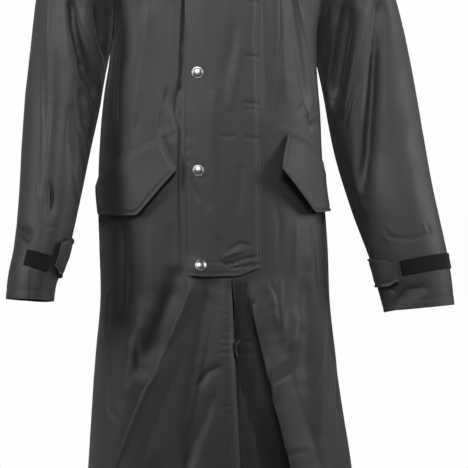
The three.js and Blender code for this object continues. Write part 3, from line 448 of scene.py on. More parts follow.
# Finer creases seen on the fronts, by x and height
FRONT_CREASES = (
    Crease(((-77, -150), (-77, -300), (-78, -500), (-78, -716)), 4.5, -8.5),
    Crease(((-82, -487), (-118, -504), (-156, -522)), 2.2, -2.6),
    Crease(((-80, -483), (-74, -496)), 2.4, -2.2),
    Crease(((56, -90), (56, -300), (56, -500), (56, -708)), 2.6, -1.6),
    Crease(((7, -735), (10, -800), (18, -1032), (22, -1246)), 6, -13.0, 2.5),
    Crease(((14, -800), (35, -898), (68, -1033), (108, -1246)), 12, -8.0),
    Crease(((-32, -744), (-38, -785), (-46, -835), (-59, -899), (-74, -968)), 7, 2.6, 0.45),
    Crease(((-58, -899), (-44, -878), (-22, -867)), 6, -4.6, 0.5),
    Crease(((-33, -914), (-45, -951), (-64, -994), (-75, -1030), (-84, -1120)), 9, -5.6, 0.6),
    Crease(((-66, -708), (-90, -772), (-118, -832), (-140, -890)), 12, -9.5, 0.7),
    Crease(((-104, -872), (-128, -935), (-158, -1020), (-184, -1110), (-198, -1220)), 5, 3.8, 0.7),
    Crease(((-119, -868), (-143, -931), (-173, -1016), (-196, -1100)), 9, -5.5, 0.6),
    Crease(((-148, -800), (-147, -853), (-147, -911)), 8, -3.4, 0.35),
    Crease(((-173, -724), (-187, -757), (-190, -814), (-190, -896)), 4, 2.2, 0.6),
    Crease(((-190, -896), (-190, -943), (-178, -954)), 6, -3.0),
    Crease(((-158, -818), (-155, -853)), 5, 2.0),
    Crease(((88, -727), (87, -819)), 6, 3.0, 0.3),
    Crease(((65, -723), (76, -761), (86, -820)), 6, -2.6, 0.6),
    Crease(((120, -790), (93, -847), (61, -913)), 9, 3.0, 0.6),
    Crease(((134, -809), (107, -878), (74, -914)), 6, -3.6, 0.5),
    Crease(((60, -748), (67, -782)), 4, -1.8),
    Crease(((68, -744), (73, -770)), 3.5, 1.6),
    Crease(((32, -774), (44, -764)), 4, -2.2),
    Crease(((112, -1020), (135, -1008)), 5, -2.2),
    Crease(((69, -924), (89, -969), (107, -1014)), 8, 2.4, 0.5),
    Crease(((173, -810), (176, -930), (172, -1043)), 3.2, 1.6, 0.7),
    Crease(((168, -817), (141, -927)), 3.2, 1.4, 0.7),
    Crease(((-163, -273), (-167, -330), (-173, -410), (-175, -496)), 9, 2.6, 0.35),
    Crease(((-160, -475), (-162, -505)), 4, -1.6),
    Crease(((-145, -458), (-148, -482)), 4, -1.4),
    Crease(((-111, -452), (-110, -488)), 4, -1.8),
    Crease(((-101, -412), (-103, -440)), 4, -1.8),
    Crease(((-78, -404), (-86, -429), (-87, -452), (-80, -478)), 6, -5.5, 0.5),
    Crease(((78, -400), (72, -461), (64, -487)), 5, -3.2, 0.5),
    Crease(((97, -255), (93, -323), (86, -380)), 5, -2.6, 0.6),
    Crease(((62, -270), (56, -360)), 6, 2.0),
    Crease(((132, -255), (139, -298), (150, -355), (166, -428), (173, -446)), 2.6, 1.8, 0.8),
    Crease(((121, -450), (136, -438), (146, -472), (172, -458)), 5, -3.0, 0.6),
    Crease(((133, -452), (150, -446)), 4, 2.0),
    Crease(((66, -487), (101, -480), (132, -491), (172, -519)), 2.4, 1.5),
    Crease(((70, -560), (84, -640), (78, -700)), 10, -2.4, 0.6),
    Crease(((120, -640), (112, -720)), 9, 2.2, 0.6),
    Crease(((150, -640), (158, -760)), 9, -2.6, 0.5),
    Crease(((-98, -640), (-92, -705)), 9, -2.6, 0.6),
    Crease(((-128, -640), (-124, -740)), 9, 2.4, 0.6),
    Crease(((-197, -631), (-173, -640), (-152, -636)), 6, -2.4),
    Crease(((-160, -1060), (-150, -1130), (-152, -1230)), 10, -2.8, 0.5),
    Crease(((-96, -1050), (-92, -1150), (-94, -1240)), 10, 2.6, 0.5),
    Crease(((-40, -1040), (-38, -1120), (-30, -1220)), 9, -2.2, 0.6),
    Crease(((120, -1060), (128, -1150), (132, -1240)), 9, -2.6, 0.5),
    Crease(((196, -1000), (206, -1120), (222, -1240)), 10, 2.6, 0.5),
)
# Like creases on the back, by x and height
BACK_CREASES = (
    Crease(((-86, -430), (-60, -470), (-20, -486)), 7, -2.6, 0.6),
    Crease(((92, -440), (64, -482), (18, -494)), 7, -2.6, 0.6),
    Crease(((-30, -505), (6, -512), (38, -502)), 8, 2.2, 0.6),
    Crease(((-120, -500), (-110, -600), (-118, -690)), 9, -2.4, 0.5),
    Crease(((126, -510), (112, -610), (120, -700)), 9, -2.4, 0.5),
    Crease(((-72, -560), (-84, -700), (-92, -860)), 8, 2.4, 0.5),
    Crease(((70, -580), (74, -720), (80, -900)), 8, 2.4, 0.5),
    Crease(((-20, -640), (-28, -800), (-34, -1000)), 9, -2.6, 0.6),
    Crease(((142, -760), (150, -900), (160, -1120)), 9, 2.8, 0.5),
    Crease(((-146, -740), (-154, -900), (-160, -1100)), 9, 2.8, 0.5),
    Crease(((-90, -900), (-98, -1060), (-100, -1240)), 10, -3.0, 0.5),
    Crease(((70, -940), (78, -1080), (84, -1240)), 10, -3.0, 0.5),
    Crease(((20, -1000), (16, -1120), (18, -1240)), 9, 2.4, 0.5),
    Crease(((-110, -160), (-96, -260), (-100, -330)), 10, -2.4, 0.6),
    Crease(((112, -170), (100, -270), (104, -340)), 10, -2.4, 0.6),
    Crease(((-8, -140), (-4, -260), (-8, -400)), 12, 1.8, 0.7),
)
# Finer creases of the sleeves, by turn in degrees and height
SLEEVE_CREASES = {
    Side.LEFT: (
        Crease(
            ((119, -252), (101, -307), (92, -357), (83, -410), (74, -459), (63, -511), (48, -560)),
            8, -6.5, 0.6,
        ),
        Crease(((74, -262), (63, -309), (52, -341), (38, -388), (24, -424), (14, -450)), 12, -8.0, 0.45),
        Crease(((90, -266), (79, -308), (65, -360), (53, -405), (42, -452)), 5, 2.6, 0.5),
        Crease(((65, -405), (56, -434), (43, -472)), 2.6, 2.2, 0.6),
        Crease(((60, -404), (51, -434), (39, -470)), 2.8, -2.2, 0.6),
        Crease(((68, -257), (47, -308), (32, -357), (12, -404)), 5, 3.4, 0.5),
        Crease(((50, -257), (30, -307), (17, -355)), 6, -4.0, 0.6),
        Crease(((24, -500), (20, -560), (24, -640)), 14, -3.0, 0.6),
        Crease(((52, -655), (80, -662), (122, -652)), 2.2, -1.6),
        Crease(((50, -650), (54, -668)), 3, 1.6),
        Crease(((60, -636), (66, -656)), 3, 1.4),
        Crease(((110, -634), (113, -652)), 2.6, 1.2),
        Crease(((122, -634), (126, -650)), 2.6, 1.2),
        Crease(((44, -764), (60, -747), (92, -742)), 4.5, -3.6, 0.6),
        Crease(((34, -736), (44, -752)), 4, -3.0),
        Crease(((118, -420), (112, -540), (106, -640)), 22, 1.6, 0.7),
        Crease(((220, -300), (236, -400), (232, -500)), 10, -2.8, 0.6),
        Crease(((280, -340), (292, -430), (284, -520)), 9, 2.8, 0.6),
        Crease(((230, -520), (262, -560), (300, -566)), 7, -3.2, 0.5),
        Crease(((236, -600), (268, -636), (306, -640)), 7, -2.8, 0.5),
    ),
    Side.RIGHT: (
        Crease(((137, -262), (130, -320), (122, -365), (115, -434), (109, -516), (107, -560)), 9, 2.4, 0.5),
        Crease(((135, -385), (128, -449), (120, -499), (119, -536)), 2.8, 1.5, 0.6),
        Crease(((126, -566), (120, -598), (115, -622)), 2.6, 1.4, 0.6),
        Crease(((106, -266), (95, -318), (81, -353), (66, -388), (44, -412), (30, -445)), 11, -7.0, 0.5),
        Crease(((99, -268), (83, -306), (63, -343), (45, -380), (27, -412)), 3.2, 3.6, 0.7),
        Crease(((68, -280), (50, -310), (38, -338), (22, -368)), 10, -6.5, 0.6),
        Crease(((54, -300), (62, -292)), 3, 1.8),
        Crease(((78, -372), (71, -412), (60, -452), (44, -486)), 13, -6.0, 0.5),
        Crease(((84, -440), (76, -500), (60, -560)), 12, -3.4, 0.5),
        Crease(((58, -484), (45, -515), (26, -548)), 3.2, 2.6, 0.6),
        Crease(((64, -488), (52, -516), (32, -552)), 4.5, -3.0, 0.6),
        Crease(((58, -549), (43, -582), (28, -602)), 3.0, 2.4, 0.6),
        Crease(((66, -552), (50, -586), (36, -606)), 4.5, -2.6, 0.6),
        Crease(((34, -610), (26, -620)), 3, 1.6),
        Crease(((100, -572), (92, -596), (94, -622)), 4.5, -3.0, 0.6),
        Crease(((178, -645), (150, -654), (126, -666)), 4, -3.4, 0.5),
        Crease(((128, -672), (116, -660)), 3, 1.8),
        Crease(((96, -642), (70, -642)), 1.8, -1.0),
        Crease(((112, -702), (104, -756)), 4.0, 2.6, 0.6),
        Crease(((220, -300), (236, -400), (232, -500)), 10, -2.8, 0.6),
        Crease(((280, -340), (292, -430), (284, -520)), 9, 2.8, 0.6),
        Crease(((230, -520), (262, -556), (300, -560)), 7, -3.2, 0.5),
        Crease(((236, -600), (268, -632), (306, -636)), 7, -2.8, 0.5),
    ),
}
SLEEVE_SECTIONS = {
    Side.LEFT: Table(
        ("z", "x", "y", "across", "deep"),
        (
            (-345, 263, -15, 78, 57),
            (-425, 273, -26, 81, 55),
            (-510, 285, -40, 80, 52),
            (-595, 300, -62, 75, 48),
            (-680, 321, -80, 68, 43),
            (-725, 330, -86, 66, 41),
            (-778, 339, -91, 62, 39),
        ),
    ),
    Side.RIGHT: Table(
        ("z", "x", "y", "across", "deep"),
        (
            (-345, 248, -15, 66, 70),
            (-425, 259, -26, 63, 68),
            (-510, 273, -40, 57, 66),
            (-595, 287, -62, 50, 63),
            (-680, 304, -80, 44, 58),
            (-725, 318, -86, 40, 55),
            (-760, 323, -90, 39, 53),
        ),
    ),
}


def linear_colour(code: str, alpha: float = 1.0) -> tuple[float, float, float, float]:
    """Turns an sRGB hex colour into linear numbers.

    Args:
        code: Six hex digits after a hash.
        alpha: Opacity.

    Returns:
        Red, green, blue and alpha.
    """
    parts = [int(code[k:k + 2], 16) / 255 for k in (1, 3, 5)]
    linear = [p / 12.92 if p <= 0.04045 else ((p + 0.055) / 1.055) ** 2.4 for p in parts]
    return (*linear, alpha)


def add_node(tree: bpy.types.NodeTree, kind: str, settings: dict, links: dict) -> bpy.types.Node:
    """Adds a shader node.

    Args:
        tree: Node tree to add it to.
        kind: Blender's name of the node's kind.
        settings: Attributes by name, and socket values by number or "in:NAME".
        links: Output sockets to link, by input name or number.

    Returns:
        The new node.
    """
    node = tree.nodes.new(kind)
    for key, value in settings.items():
        if isinstance(key, int):
            node.inputs[key].default_value = value
        elif key.startswith("in:"):
            node.inputs[key[3:]].default_value = value
        else:
            setattr(node, key, value)
    for key, socket in links.items():
        tree.links.new(socket, node.inputs[key])
    return node


def blank_material(name: str) -> tuple[bpy.types.Material, bpy.types.NodeTree]:
    """New material with an empty node tree.

    Args:
        name: Name of the material.

    Returns:
        The material and its tree.
    """
    material = bpy.data.materials.new(name)
    material.use_nodes = True
    material.node_tree.nodes.clear()
    return material, material.node_tree


@dataclass(frozen=True)
class CoatedNylon:
    """Plain-woven nylon with a polyurethane coating.

    The tight weave and the coating give the eye a charcoal, satin surface: broad soft highlights
    on every fold, a faint paleness at grazing angles, and small uneven glints where the cloth is crushed.

    Attributes:
        name: Name of the material.
        colour: Colour of the lit cloth.
        shade: Colour of its slightly duller patches.
        thread_mm: Spacing of the threads, drawn coarser than the real 0.25 mm so that it can show.
        crush_mm: Size of the crushed facets that break the highlights.
    """

    name: str = "coated_nylon"
    colour: str = "#1d1e20"
    shade: str = "#191a1c"
    roughness: float = 0.62
    thread_mm: float = 0.9
    crush_mm: float = 11.0

    def make(self) -> bpy.types.Material:
        """Builds the material."""
        material, tree = blank_material(self.name)
        place = add_node(tree, "ShaderNodeTexCoord", {}, {})
        weave_place = add_node(tree, "ShaderNodeUVMap", {"uv_map": "cloth"}, {})
        patches = add_node(
            tree, "ShaderNodeTexNoise", {"in:Scale": 9.0, "in:Detail": 3.0, "in:Roughness": 0.55},
            {"Vector": place.outputs["Object"]},
        )
        tint = add_node(
            tree, "ShaderNodeMix",
            {"data_type": "RGBA", 6: linear_colour(self.shade), 7: linear_colour(self.colour)},
            {0: patches.outputs["Fac"]},
        )
        gloss = add_node(
            tree, "ShaderNodeMapRange",
            {1: 0.3, 2: 0.7, 3: self.roughness - 0.045, 4: self.roughness + 0.055},
            {0: patches.outputs["Fac"]},
        )
        crush = add_node(
            tree, "ShaderNodeTexNoise",
            {"in:Scale": 1.0 / (self.crush_mm * METRE), "in:Detail": 2.0, "in:Roughness": 0.5},
            {"Vector": place.outputs["Object"]},
        )
        warp = add_node(
            tree, "ShaderNodeTexWave",
            {"bands_direction": "X", "in:Scale": WAVE_BAND / (self.thread_mm * METRE)},
            {"Vector": weave_place.outputs["UV"]},
        )
        weft = add_node(
            tree, "ShaderNodeTexWave",
            {"bands_direction": "Y", "in:Scale": WAVE_BAND / (self.thread_mm * METRE)},
            {"Vector": weave_place.outputs["UV"]},
        )
        weave = add_node(
            tree, "ShaderNodeMath", {"operation": "MAXIMUM"},
            {0: warp.outputs["Fac"], 1: weft.outputs["Fac"]},
        )
        crushed = add_node(
            tree, "ShaderNodeBump", {"in:Strength": 0.4, "in:Distance": 0.0004},
            {"Height": crush.outputs["Fac"]},
        )
        woven = add_node(
            tree, "ShaderNodeBump", {"in:Strength": 0.25, "in:Distance": 0.00008},
            {"Height": weave.outputs[0], "Normal": crushed.outputs["Normal"]},
        )
        shader = add_node(
            tree, "ShaderNodeBsdfPrincipled",
            {
                "in:IOR": 1.5, "in:Metallic": 0.0, "in:Sheen Weight": 0.08, "in:Sheen Roughness": 0.5,
                "in:Specular IOR Level": 0.5,
            },
            {
                "Base Color": tint.outputs[2], "Roughness": gloss.outputs["Result"],
                "Normal": woven.outputs["Normal"],
            },
        )
        add_node(tree, "ShaderNodeOutputMaterial", {}, {"Surface": shader.outputs["BSDF"]})
        return material


@dataclass(frozen=True)
class LoopTape:
    """Woven tape with a brushed nylon loop pile.

    The pile scatters light, so the tape looks flat black beside the satin cloth, with a rough nap.
    """

    name: str = "loop_tape"
    colour: str = "#0b0b0c"
    nap_mm: float = 1.6

    def make(self) -> bpy.types.Material:
        """Builds the material."""
        material, tree = blank_material(self.name)
        place = add_node(tree, "ShaderNodeTexCoord", {}, {})
        nap = add_node(
            tree, "ShaderNodeTexNoise",
            {"in:Scale": 1.0 / (self.nap_mm * METRE), "in:Detail": 4.0, "in:Roughness": 0.7},
            {"Vector": place.outputs["Object"]},
        )
        tint = add_node(
            tree, "ShaderNodeMix",
            {"data_type": "RGBA", 6: linear_colour("#040405"), 7: linear_colour(self.colour)},
            {0: nap.outputs["Fac"]},
        )
        rough = add_node(
            tree, "ShaderNodeBump", {"in:Strength": 0.9, "in:Distance": 0.0012},
            {"Height": nap.outputs["Fac"]},
        )
        shader = add_node(
            tree, "ShaderNodeBsdfPrincipled",
            {
                "in:Roughness": 0.95, "in:Sheen Weight": 0.06, "in:Sheen Roughness": 0.6,
                "in:Specular IOR Level": 0.2,
            },
            {"Base Color": tint.outputs[2], "Normal": rough.outputs["Normal"]},
        )
        add_node(tree, "ShaderNodeOutputMaterial", {}, {"Surface": shader.outputs["BSDF"]})
        return material


@dataclass(frozen=True)
class PlatedBrass:
    """Pressed brass with bright nickel plating.

    The plating gives a sharp silver dome, with fine scratches that soften its glints.
    """

    name: str = "nickel_plated_brass"
    colour: str = "#98989a"
    scratch_mm: float = 0.7

    def make(self) -> bpy.types.Material:
        """Builds the material."""
        material, tree = blank_material(self.name)
        place = add_node(tree, "ShaderNodeTexCoord", {}, {})
        wear = add_node(
            tree, "ShaderNodeTexNoise",
            {"in:Scale": 1.0 / (self.scratch_mm * METRE), "in:Detail": 5.0},
            {"Vector": place.outputs["Object"]},
        )
        gloss = add_node(
            tree, "ShaderNodeMapRange", {1: 0.3, 2: 0.7, 3: 0.26, 4: 0.4}, {0: wear.outputs["Fac"]}
        )
        shader = add_node(
            tree, "ShaderNodeBsdfPrincipled",
            {"in:Base Color": linear_colour(self.colour), "in:Metallic": 1.0},
            {"Roughness": gloss.outputs["Result"]},
        )
        add_node(tree, "ShaderNodeOutputMaterial", {}, {"Surface": shader.outputs["BSDF"]})
        return material


@dataclass(frozen=True)
class PolyesterThread:
    """Twisted polyester sewing thread, duller than the coated cloth and drawn a little paler: that paleness
    is a painted highlight on the black thread.
    """

    name: str = "polyester_thread"
    # Grey of the lit cloth, a painted highlight that lets the stitches show as pale lines
    colour: str = "#4a4b4e"
    twist_mm: float = 0.5

    def make(self) -> bpy.types.Material:
        """Builds the material."""
        material, tree = blank_material(self.name)
        place = add_node(tree, "ShaderNodeTexCoord", {}, {})
        twist = add_node(
            tree, "ShaderNodeTexWave",
            {"bands_direction": "DIAGONAL", "in:Scale": WAVE_BAND / (self.twist_mm * METRE)},
            {"Vector": place.outputs["Object"]},
        )
        relief = add_node(
            tree, "ShaderNodeBump", {"in:Strength": 0.4, "in:Distance": 0.0001},
            {"Height": twist.outputs["Fac"]},
        )
        shader = add_node(
            tree, "ShaderNodeBsdfPrincipled",
            {"in:Base Color": linear_colour(self.colour), "in:Roughness": 0.6, "in:IOR": 1.5},
            {"Normal": relief.outputs["Normal"]},
        )
        add_node(tree, "ShaderNodeOutputMaterial", {}, {"Surface": shader.outputs["BSDF"]})
        return material


@dataclass
class Finishes:
    """The coat's materials, made once."""

    nylon: bpy.types.Material = field(default_factory=lambda: CoatedNylon().make())
    tape: bpy.types.Material = field(default_factory=lambda: LoopTape().make())
    plating: bpy.types.Material = field(default_factory=lambda: PlatedBrass().make())
    thread: bpy.types.Material = field(default_factory=lambda: PolyesterThread().make())


def make_piece(
    name: str, points: np.ndarray, faces: np.ndarray, material: bpy.types.Material,
    cloth_place: np.ndarray | None = None, crisp_degrees: float = 48.0,
) -> bpy.types.Object:
    """Makes a mesh object from points in millimetres.

    Args:
        name: Name of the piece.
        points: Points, one row each.
        faces: Rows of three or four point numbers.
        material: Its finish.
        cloth_place: Place of each point on the cloth in millimetres, for the weave.
        crisp_degrees: Edges sharper than this stay crisp.

    Returns:
        The object, linked to the scene.
    """
    mesh = bpy.data.meshes.new(name)
    mesh.from_pydata((points * METRE).tolist(), [], faces.tolist())
    mesh.polygons.foreach_set("use_smooth", np.ones(len(mesh.polygons), bool))
    mesh.set_sharp_from_angle(angle=crisp_degrees * DEGREE)
    if cloth_place is not None:
        corners = np.empty(len(mesh.loops), np.int64)
        mesh.loops.foreach_get("vertex_index", corners)
        layer = mesh.uv_layers.new(name="cloth")
        layer.data.foreach_set("uv", (cloth_place[corners] * METRE).astype(np.float32).ravel())
    mesh.materials.append(material)
    mesh.update()
    piece = bpy.data.objects.new(name, mesh)
    bpy.context.scene.collection.objects.link(piece)
    return piece


def wall(outer: np.ndarray, inner: np.ndarray, closed: bool = False) -> tuple[np.ndarray, np.ndarray]:
    """Points and faces of a closed cloth wall between two grids.

    Args:
        outer: Outer points by row and column.
        inner: Inner points by row and column.
        closed: True for a tube, whose first and last columns are the same.

    Returns:
        All points, and faces of four points.
    """
    rows, columns = outer.shape[:2]
    count = columns - 1 if closed else columns
    number = np.arange(rows * count).reshape(rows, count)
    if closed:
        number = np.hstack([number, number[:, :1]])
    inside = number + rows * count
    a, b, c, d = number[:-1, :-1], number[:-1, 1:], number[1:, 1:], number[1:, :-1]
    e, f, g, h = inside[:-1, :-1], inside[:-1, 1:], inside[1:, 1:], inside[1:, :-1]
    faces = [np.stack([a, b, c, d], -1).reshape(-1, 4), np.stack([e, h, g, f], -1).reshape(-1, 4)]
    faces.append(np.stack([number[0, :-1], inside[0, :-1], inside[0, 1:], number[0, 1:]], -1))
    faces.append(np.stack([number[-1, :-1], number[-1, 1:], inside[-1, 1:], inside[-1, :-1]], -1))
    if not closed:
        faces.append(np.stack([number[:-1, 0], number[1:, 0], inside[1:, 0], inside[:-1, 0]], -1))
        faces.append(np.stack([number[:-1, -1], inside[:-1, -1], inside[1:, -1], number[1:, -1]], -1))
    points = np.concatenate([outer[:, :count].reshape(-1, 3), inner[:, :count].reshape(-1, 3)])
    return points, np.concatenate(faces)


def cloth_piece(
    name: str, outer: np.ndarray, normals: np.ndarray, thickness: float, material: bpy.types.Material,
    closed: bool = False,
) -> bpy.types.Object:
    """Makes a wall of cloth from its outer grid, with its place on the cloth as UV."""
    points, faces = wall(outer, outer - normals * thickness, closed)
    across = np.zeros(outer.shape[:2])
    across[:, 1:] = np.cumsum(np.linalg.norm(np.diff(outer, axis=1), axis=-1), axis=1)
    up = np.zeros(outer.shape[:2])
    up[1:] = np.cumsum(np.linalg.norm(np.diff(outer, axis=0), axis=-1), axis=0)
    count = outer.shape[1] - 1 if closed else outer.shape[1]
    place = np.stack([across[:, :count], up[:, :count]], axis=-1).reshape(-1, 2)
    return make_piece(name, points, faces, material, np.concatenate([place, place]))


@dataclass
class Stitches:
    """Rows of single stitches, joined into one mesh for each piece of the coat.

    Attributes:
        pitch: Distance from one stitch to the next.
        length: Length of a stitch.
        radius: Half its thickness.
    """

    pitch: float = 3.6
    length: float = 2.7
    radius: float = 0.34
    points: list = field(default_factory=list)
    faces: list = field(default_factory=list)
    count: int = 0

    def row(self, line: np.ndarray, normals: np.ndarray) -> None:
        """Adds stitches along a line that lies on a cloth.

        Args:
            line: Points along it.
            normals: Outward direction at each point.
        """
        steps = np.linalg.norm(np.diff(line, axis=0), axis=1)
        keys = np.concatenate([[0.0], np.cumsum(steps)])
        middles = np.arange(self.pitch / 2, keys[-1] - self.pitch / 2, self.pitch)
        if len(middles) == 0:
            return
        at = np.stack([np.interp(middles, keys, line[:, k]) for k in range(3)], -1)
        ahead_at = np.stack([np.interp(middles + 0.5, keys, line[:, k]) for k in range(3)], -1)
        up = unit(np.stack([np.interp(middles, keys, normals[:, k]) for k in range(3)], -1))
        ahead = unit(ahead_at - at)
        side = unit(np.cross(ahead, up))
        ring = np.array([[1, 0], [0, 1], [-1, 0], [0, -1]], float) * self.radius
        base = at + up * self.radius * 0.35
        for centre, a, s, u in zip(base, ahead, side, up):
            half = a * self.length / 2
            first = [centre - half]
            for share in (-0.55, 0.55):
                first += [centre + half * share + s * r[0] + u * (r[1] + self.radius * 0.3) for r in ring]
            first.append(centre + half)
            k = self.count
            self.points += first
            for q in range(4):
                n = (q + 1) % 4
                self.faces += [
                    (k, k + 1 + n, k + 1 + q, k + 1 + q),
                    (k + 1 + q, k + 1 + n, k + 5 + n, k + 5 + q),
                    (k + 9, k + 5 + q, k + 5 + n, k + 5 + n),
                ]
            self.count += 10

    def finish(self, name: str, material: bpy.types.Material) -> bpy.types.Object | None:
        """Joins the stitches into one piece, or returns None where there are none."""
        if not self.points:
            return None
        mesh = bpy.data.meshes.new(name)
        clean = [tuple(dict.fromkeys(face)) for face in self.faces]
        mesh.from_pydata((np.array(self.points) * METRE).tolist(), [], clean)
        mesh.polygons.foreach_set("use_smooth", np.ones(len(mesh.polygons), bool))
        mesh.materials.append(material)
        piece = bpy.data.objects.new(name, mesh)
        bpy.context.scene.collection.objects.link(piece)
        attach(piece, BODY)
        return piece


@dataclass
class Shell:
    """Panels and sleeves of the coat as fine grids.

    Attributes:
        cut: Sizes of the cut.
        columns_each: Fine columns in each of the solids' columns, by panel.
        skirt_fine: Fine rows in each of the solids' rows below the waist.
        waist_fine: Fine rows in each row from the waist to the armpit.
        yoke_fine: Fine rows in each row above the armpit.
    """

    cut: Cut
    front_fine: int = 7
    back_fine: int = 5
    skirt_fine: int = 14
    waist_fine: int = 9
    yoke_fine: int = 8
    skirt_split: int = 12
    sleeve_rows: int = 190
    crumple: Noise = field(default_factory=lambda: Noise(11))
    pucker: Noise = field(default_factory=lambda: Noise(23))

    def front_turns(self, side: Side, z: float) -> np.ndarray:
        """Turns of a front's columns at one height: even above, and gathered round the pleat below."""
        cut = self.cut
        table = cut.left_pleat if side is Side.LEFT else cut.right_pleat
        edge = 0.0
        if z < cut.flap_bottom_z:
            over = float(cut.edge_reach.read("over", z))
            edge = float(cut.turn_of(over + cut.edge_gap if side is Side.LEFT else over, z))
        start = edge if side is Side.LEFT else -math.pi / 2
        end = math.pi / 2 if side is Side.LEFT else edge
        inside = min(z, table.first_key)
        middle = float(cut.turn_of(table.read("x", inside), inside))
        half = float(table.read("half", inside)) / cut.body_reach
        first = 3 if side is Side.LEFT else 4
        last = first + cut.pleat_columns
        top = -table.first_key
        gathered = float(smooth_step(np.array(-z), top, top + cut.gather_room))
        i = np.arange(cut.front_columns + 1)
        even = start + (end - start) * i / cut.front_columns
        bunched = middle - half + 2 * half * (i - first) / cut.pleat_columns
        bunched = np.where(i < first, start + (middle - half - start) * i / first, bunched)
        after = end - (end - middle - half) * (cut.front_columns - i) / (cut.front_columns - last)
        return even + (np.where(i > last, after, bunched) - even) * gathered

    def plain_grid(self, turns_at, top: np.ndarray, left: np.ndarray, right: np.ndarray) -> np.ndarray:
        """Grid of a panel before its folds, as the solids have it.

        Args:
            turns_at: Gives the turns of the columns at a height.
            top: Points of the upper edge.
            left: Points of the seam at the first column, above the armpit.
            right: Points of the seam at the last column, above the armpit.

        Returns:
            Rows of x, y, z, turn and fade.
        """
        cut = self.cut
        rows = []
        for j in range(cut.skirt_rows + 1):
            z = cut.hem_z + (cut.armpit_z - cut.hem_z) * j / cut.skirt_rows
            turns = turns_at(z)
            base = cut.body_base(turns, z)
            rows.append(np.column_stack([base, turns, np.ones(len(turns))]))
        bottom = rows[-1][:, :3]
        turns = rows[-1][:, 3]
        u = (np.arange(len(turns)) / (len(turns) - 1))[:, None]
        to_side = np.abs(math.pi / 2 - np.abs(math.pi - np.abs(math.pi - np.abs(turns))))
        for j in range(1, cut.yoke_rows + 1):
            v = j / cut.yoke_rows
            mixed = bottom * (1 - v) + top * v + left[j] * (1 - u) + right[j] * u
            mixed -= bottom[0] * (1 - u) * (1 - v) + bottom[-1] * u * (1 - v)
            mixed -= top[0] * (1 - u) * v + top[-1] * u * v
            fade = smooth_step(to_side, 0, cut.seam_fade) * smooth_step(np.array(1 - v), 0, cut.seam_fade)
            rows.append(np.column_stack([mixed, turns, fade]))
        grid = np.array(rows)
        for _ in range(cut.ease_passes):
            for j in range(cut.skirt_rows - 1, len(grid) - 1):
                for i in range(1, grid.shape[1] - 1):
                    around = (grid[j - 1, i] + grid[j + 1, i] + grid[j, i - 1] + grid[j, i + 1])[:3] / 4
                    grid[j, i, :3] += (around - grid[j, i, :3]) * cut.ease_share
        return grid

    def refined(self, grid: np.ndarray, fine: int) -> np.ndarray:
        """Reads a coarse grid smoothly at the fine spacing."""
        cut = self.cut
        keys = []
        for j in range(len(grid) - 1):
            steps = self.skirt_fine if j < self.skirt_split else self.waist_fine
            steps = self.yoke_fine if j >= cut.skirt_rows else steps
            keys += [j + k / steps for k in range(steps)]
        keys.append(len(grid) - 1)
        tall = cubic_read(np.arange(len(grid)), grid, np.array(keys))
        columns = np.arange((grid.shape[1] - 1) * fine + 1) / fine
        wide = cubic_read(np.arange(grid.shape[1]), np.swapaxes(tall, 0, 1), columns)
        return np.swapaxes(wide, 0, 1)

    def body_folds(self, turn: np.ndarray, z: np.ndarray) -> np.ndarray:
        """Sum of the body's large folds at each place."""
        cut = self.cut
        total = np.zeros(turn.shape)
        for folds, on_back in ((FRONT_FOLDS, False), (BACK_FOLDS, True)):
            for fold in folds:
                start = float(cut.turn_of(fold.from_across, fold.from_z, on_back))
                end = float(cut.turn_of(fold.to_across, fold.to_z, on_back))
                total += self.fold_height(fold, start, end, turn, z, cut.body_reach)
        return total

    @staticmethod
    def fold_height(
        fold: Fold, start: float, end: float, turn: np.ndarray, z: np.ndarray, reach: float
    ) -> np.ndarray:
        """Height of one large fold, from the distance to its line; it is half as high at its ends."""
        along_x = turn_between(start, end) * reach
        along_z = fold.to_z - fold.from_z
        off_x = turn_between(start, turn) * reach
        off_z = z - fold.from_z
        length = math.hypot(float(along_x), along_z)
        share = np.clip((off_x * along_x + off_z * along_z) / length**2, 0.0, 1.0)
        distance = np.hypot(off_x - share * along_x, off_z - share * along_z)
        to_end = np.minimum(share, 1 - share) * length
        crest = 0.5 + 0.5 * smooth_step(to_end, 0, 2 * fold.width)
        return fold.height * crest * np.exp(-((distance / fold.width) ** 2))

    def pleat_shift(self, table: Table, turn: np.ndarray, z: np.ndarray) -> tuple[np.ndarray, np.ndarray]:
        """How far a pleat draws each place sideways, as a turn, and lifts it."""
        cut = self.cut
        inside = np.minimum(z, table.first_key)
        middle = cut.turn_of(table.read("x", inside), inside)
        share = (turn - middle) * cut.body_reach / table.read("half", inside)
        sunk = -table.read("sunk", inside) * (1 - smooth_step(share, -1, 0.4))
        wave = np.where(np.abs(share) < 1, np.sin(math.pi * share), 0.0)
        on = z < table.first_key
        shift = np.where(on, -table.read("lap", inside) * wave / cut.body_reach, 0.0)
        return shift, np.where(on, table.read("lift", inside) * wave + sunk, 0.0)

    def broad_panel(self, plain: np.ndarray, table: Table | None, forward: bool) -> np.ndarray:
        """Adds the large folds and the pleat to a plain fine grid."""
        cut = self.cut
        points, turn, fade = plain[..., :3], plain[..., 3], np.clip(plain[..., 4], 0, 1)
        z = points[..., 2]
        shift, lift = np.zeros(z.shape), np.zeros(z.shape)
        if table is not None:
            shift, lift = self.pleat_shift(table, turn, z)
        if forward:
            reach = cut.edge_spread / cut.body_reach
            ahead = cut.edge_reach.read("forward", z) * smooth_step(turn, -reach, 0)
            lift = lift + np.where(z < cut.flap_bottom_z, ahead, 0.0)
        upper = smooth_step(z, -460, -400)[..., None]
        low = np.clip(z, cut.hem_z, cut.armpit_z)
        formed = cut.body_base(turn + shift, low)
        base = formed * (1 - upper) + points * upper
        normals = unit(cut.body_normal(turn + shift, low) * (1 - upper) + grid_normals(points) * upper)
        height = self.body_folds(turn, z) * fade + lift
        return base + normals * height[..., None]

